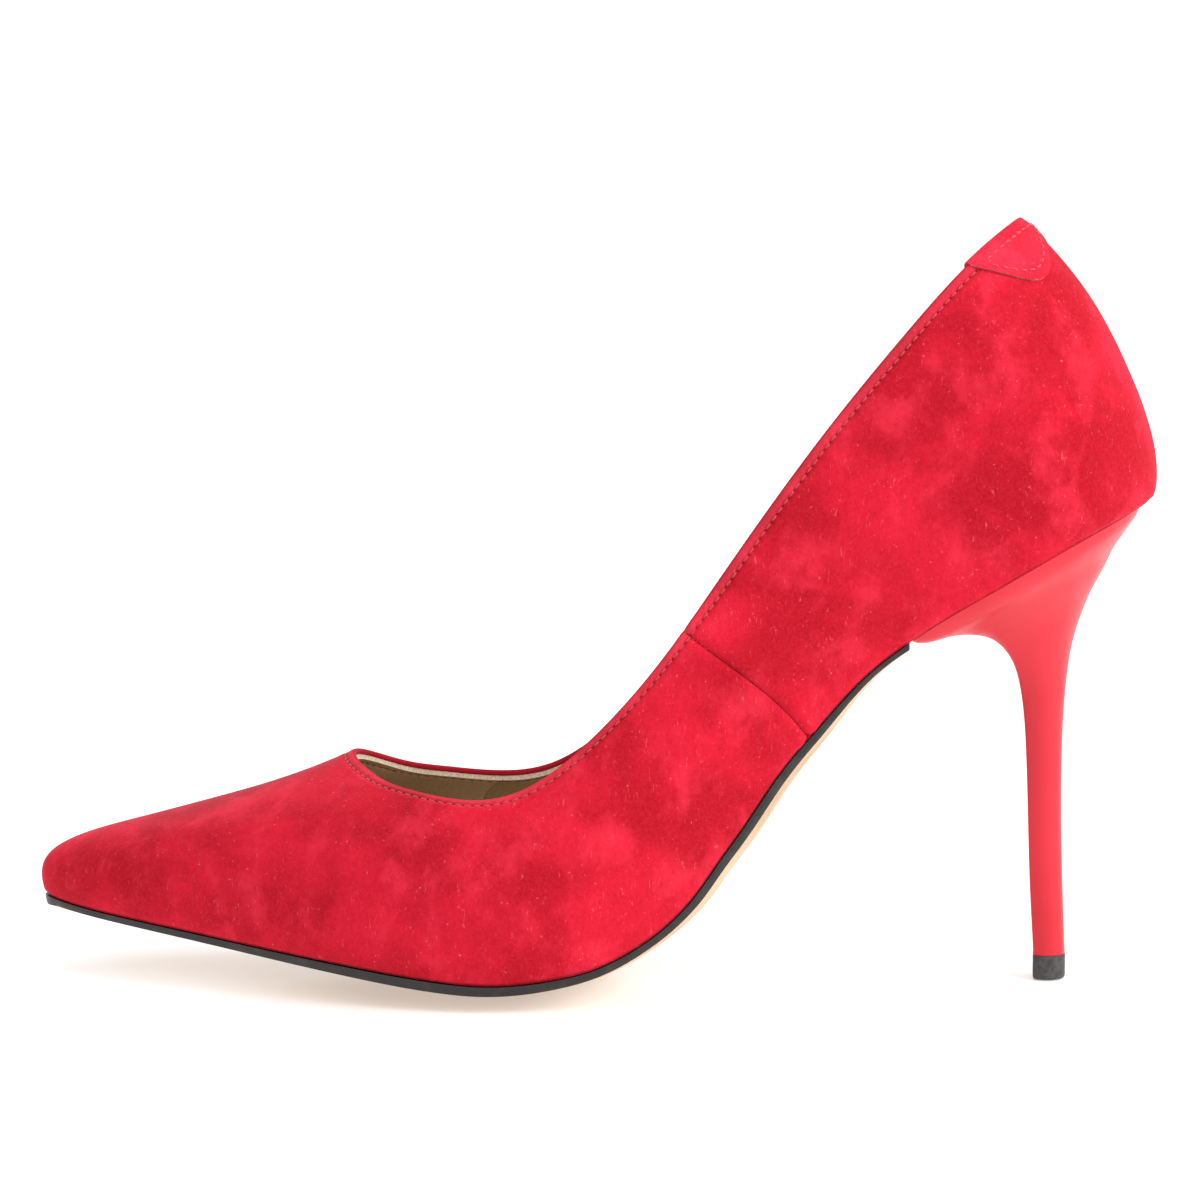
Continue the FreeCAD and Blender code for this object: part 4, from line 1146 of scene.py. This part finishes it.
sole_top = patch_grid(inset_edge(-0.15), lambda x, c: -SOLE_GAP + 0 * x, SHEET_TOE, SOLE_END,
                      True, False, 200, 41)
sole_low = patch_grid(inset_edge(0.25), sole_lift, SHEET_TOE, SOLE_END, True, False, 200, 41)
sole_low[..., 2] = np.maximum(sole_low[..., 2], 0)
sole = slab("outsole_leather", sole_top, sole_low, [sole_tan, edge_black], side_slot=1, over_slot=1,
            rings=[(0.12, 0.02), (0.4, 0.1), (0.75, 0.08), (0.94, -0.02)])
register(sole, "outsole_tan_black", "outsole")

heel = ring_stack("heel_lacquered", heel_rings(170, 112), [lacquer_red])
register(heel, "heel_red", "heel_block")

tip_rings = []
for z, grow in ((0, -0.35), (0.12, -0.12), (0.4, 0.06), (0.9, 0.1), (2.4, 0.1), (4.0, 0.1),
                (5.1, 0.1), (5.3, 0.04), (5.4, -0.1)):
    outline = heel_d((TIP_FRONT - grow, z), (TIP_BACK + grow, z), TIP_HALF_WIDTH + grow,
                     SLIM_CORNER, 161)
    tip_rings.append(rounded_ring(outline, 96, 3))
tip = ring_stack("top_piece_rubber", np.array(tip_rings), [rubber_dark], sharp=30)
register(tip, "top_piece_dark", "top_piece")

outer_row, outer_total = rim_path(0.14, False)
inner_row, inner_total = rim_path(FOOT_DEPTH - 0.34, True)
rows = [thread_row("topline_thread_outer", outer_row, outer_total, [thread_outer]),
        thread_row("topline_thread_inner", inner_row, inner_total, [thread_outer])]
for row in rows:
    register(row, "thread_red", "topline_stitching")

TAB_ROW_REACH = TAB_REACH * 0.88
row_position = np.linspace(-TAB_ROW_REACH, TAB_ROW_REACH, 1201)
row_side = tab_t(row_position)
tab_rows = {
    "low": 1 - (tab_drop(row_position) - 0.034),
    "high": 1 - STITCH_INSET / rim_rate(row_side),
}
for name, height in tab_rows.items():
    normals = skin_normal(row_side, height)
    surface = skin(row_side, height) + normals * (TAB_THICKNESS + GLUE_GAP)
    place, total = path_by_length(surface, normals)
    row = thread_row("back_tab_thread_" + name, place, total, [thread_outer], sink=0.02)
    register(row, "thread_red", "back_tab_stitching")

SEAM_DEPTH = UPPER_THICKNESS + 0.25
hidden_paths = []
for side in (-1, 1):
    height = np.linspace(0.08, 0.91, 600)
    hidden_paths.append((side * side_seam(height), height))
hidden_paths.append((np.full(300, 1.0), np.linspace(0.65, 0.91, 300)))
for name, (t, height) in zip(("lateral", "medial", "back"), hidden_paths):
    normals = skin_normal(t, height)
    place, total = path_by_length(skin(t, height) - normals * SEAM_DEPTH, normals)
    row = thread_row("seam_thread_" + name, place, total, [thread_hidden], sink=0.0)
    register(row, "thread_red", "seam_stitching")

# ---------------------------------------------------------------------------
# Floor, light and camera
# ---------------------------------------------------------------------------
FLOOR_SIZE = 60.0
floor_mesh = bpy.data.meshes.new("floor")
half_floor = FLOOR_SIZE / 2
floor_mesh.from_pydata([(-half_floor, -half_floor, 0), (half_floor, -half_floor, 0),
                        (half_floor, half_floor, 0), (-half_floor, half_floor, 0)],
                       [], [(0, 1, 2, 3)])
floor_look = Look("floor_white", (0.82, 0.8, 0.795), 0.16, IOR=1.22,
                  Emission_Color=(1, 1, 1, 1), Emission_Strength=0.32)
floor_mesh.materials.append(floor_look.material)
floor = bpy.data.objects.new("floor", floor_mesh)
bpy.context.scene.collection.objects.link(floor)
floor.location.z = -0.0002

world = bpy.data.worlds.new("studio")
world.use_nodes = True
world.node_tree.nodes["Background"].inputs["Color"].default_value = (1, 1, 1, 1)
world.node_tree.nodes["Background"].inputs["Strength"].default_value = 0.8
bpy.context.scene.world = world


def softbox(name, position, target, size, power):
    """Square area light that looks at a point."""
    data = bpy.data.lights.new(name, "AREA")
    data.shape = "SQUARE"
    data.size = size
    data.energy = power
    lamp = bpy.data.objects.new(name, data)
    bpy.context.scene.collection.objects.link(lamp)
    lamp.location = position
    aim = np.array(target) - np.array(position)
    yaw = math.atan2(aim[1], aim[0])
    pitch = math.atan2(aim[2], math.hypot(aim[0], aim[1]))
    lamp.rotation_euler = (math.pi / 2 + pitch, 0, yaw - math.pi / 2)
    return lamp


softbox("key", (-0.9, -1.0, 1.3), (0, 0, 0.06), 1.1, 4)
softbox("fill_right", (1.3, -0.5, 0.9), (0.05, 0, 0.08), 0.9, 24)
softbox("overhead", (0.1, 0.3, 1.7), (0, 0, 0.05), 1.4, 9)

CAMERA_AZIMUTH = math.radians(4.2)
CAMERA_ELEVATION = math.radians(8)
CAMERA_DISTANCE = 1.1
CAMERA_TARGET = (0.00147, 0.0101, 0.08225)
CAMERA_LENS = 151.34
camera_data = bpy.data.cameras.new("camera")
camera_data.lens = CAMERA_LENS
camera_data.sensor_width = 36
camera = bpy.data.objects.new("camera", camera_data)
bpy.context.scene.collection.objects.link(camera)
flat = math.cos(CAMERA_ELEVATION) * CAMERA_DISTANCE
camera.location = (CAMERA_TARGET[0] + math.sin(CAMERA_AZIMUTH) * flat,
                   CAMERA_TARGET[1] - math.cos(CAMERA_AZIMUTH) * flat,
                   CAMERA_TARGET[2] + math.sin(CAMERA_ELEVATION) * CAMERA_DISTANCE)
camera.rotation_euler = (math.pi / 2 - CAMERA_ELEVATION, 0, CAMERA_AZIMUTH)
bpy.context.scene.camera = camera
bpy.context.scene.view_settings.view_transform = "Standard"
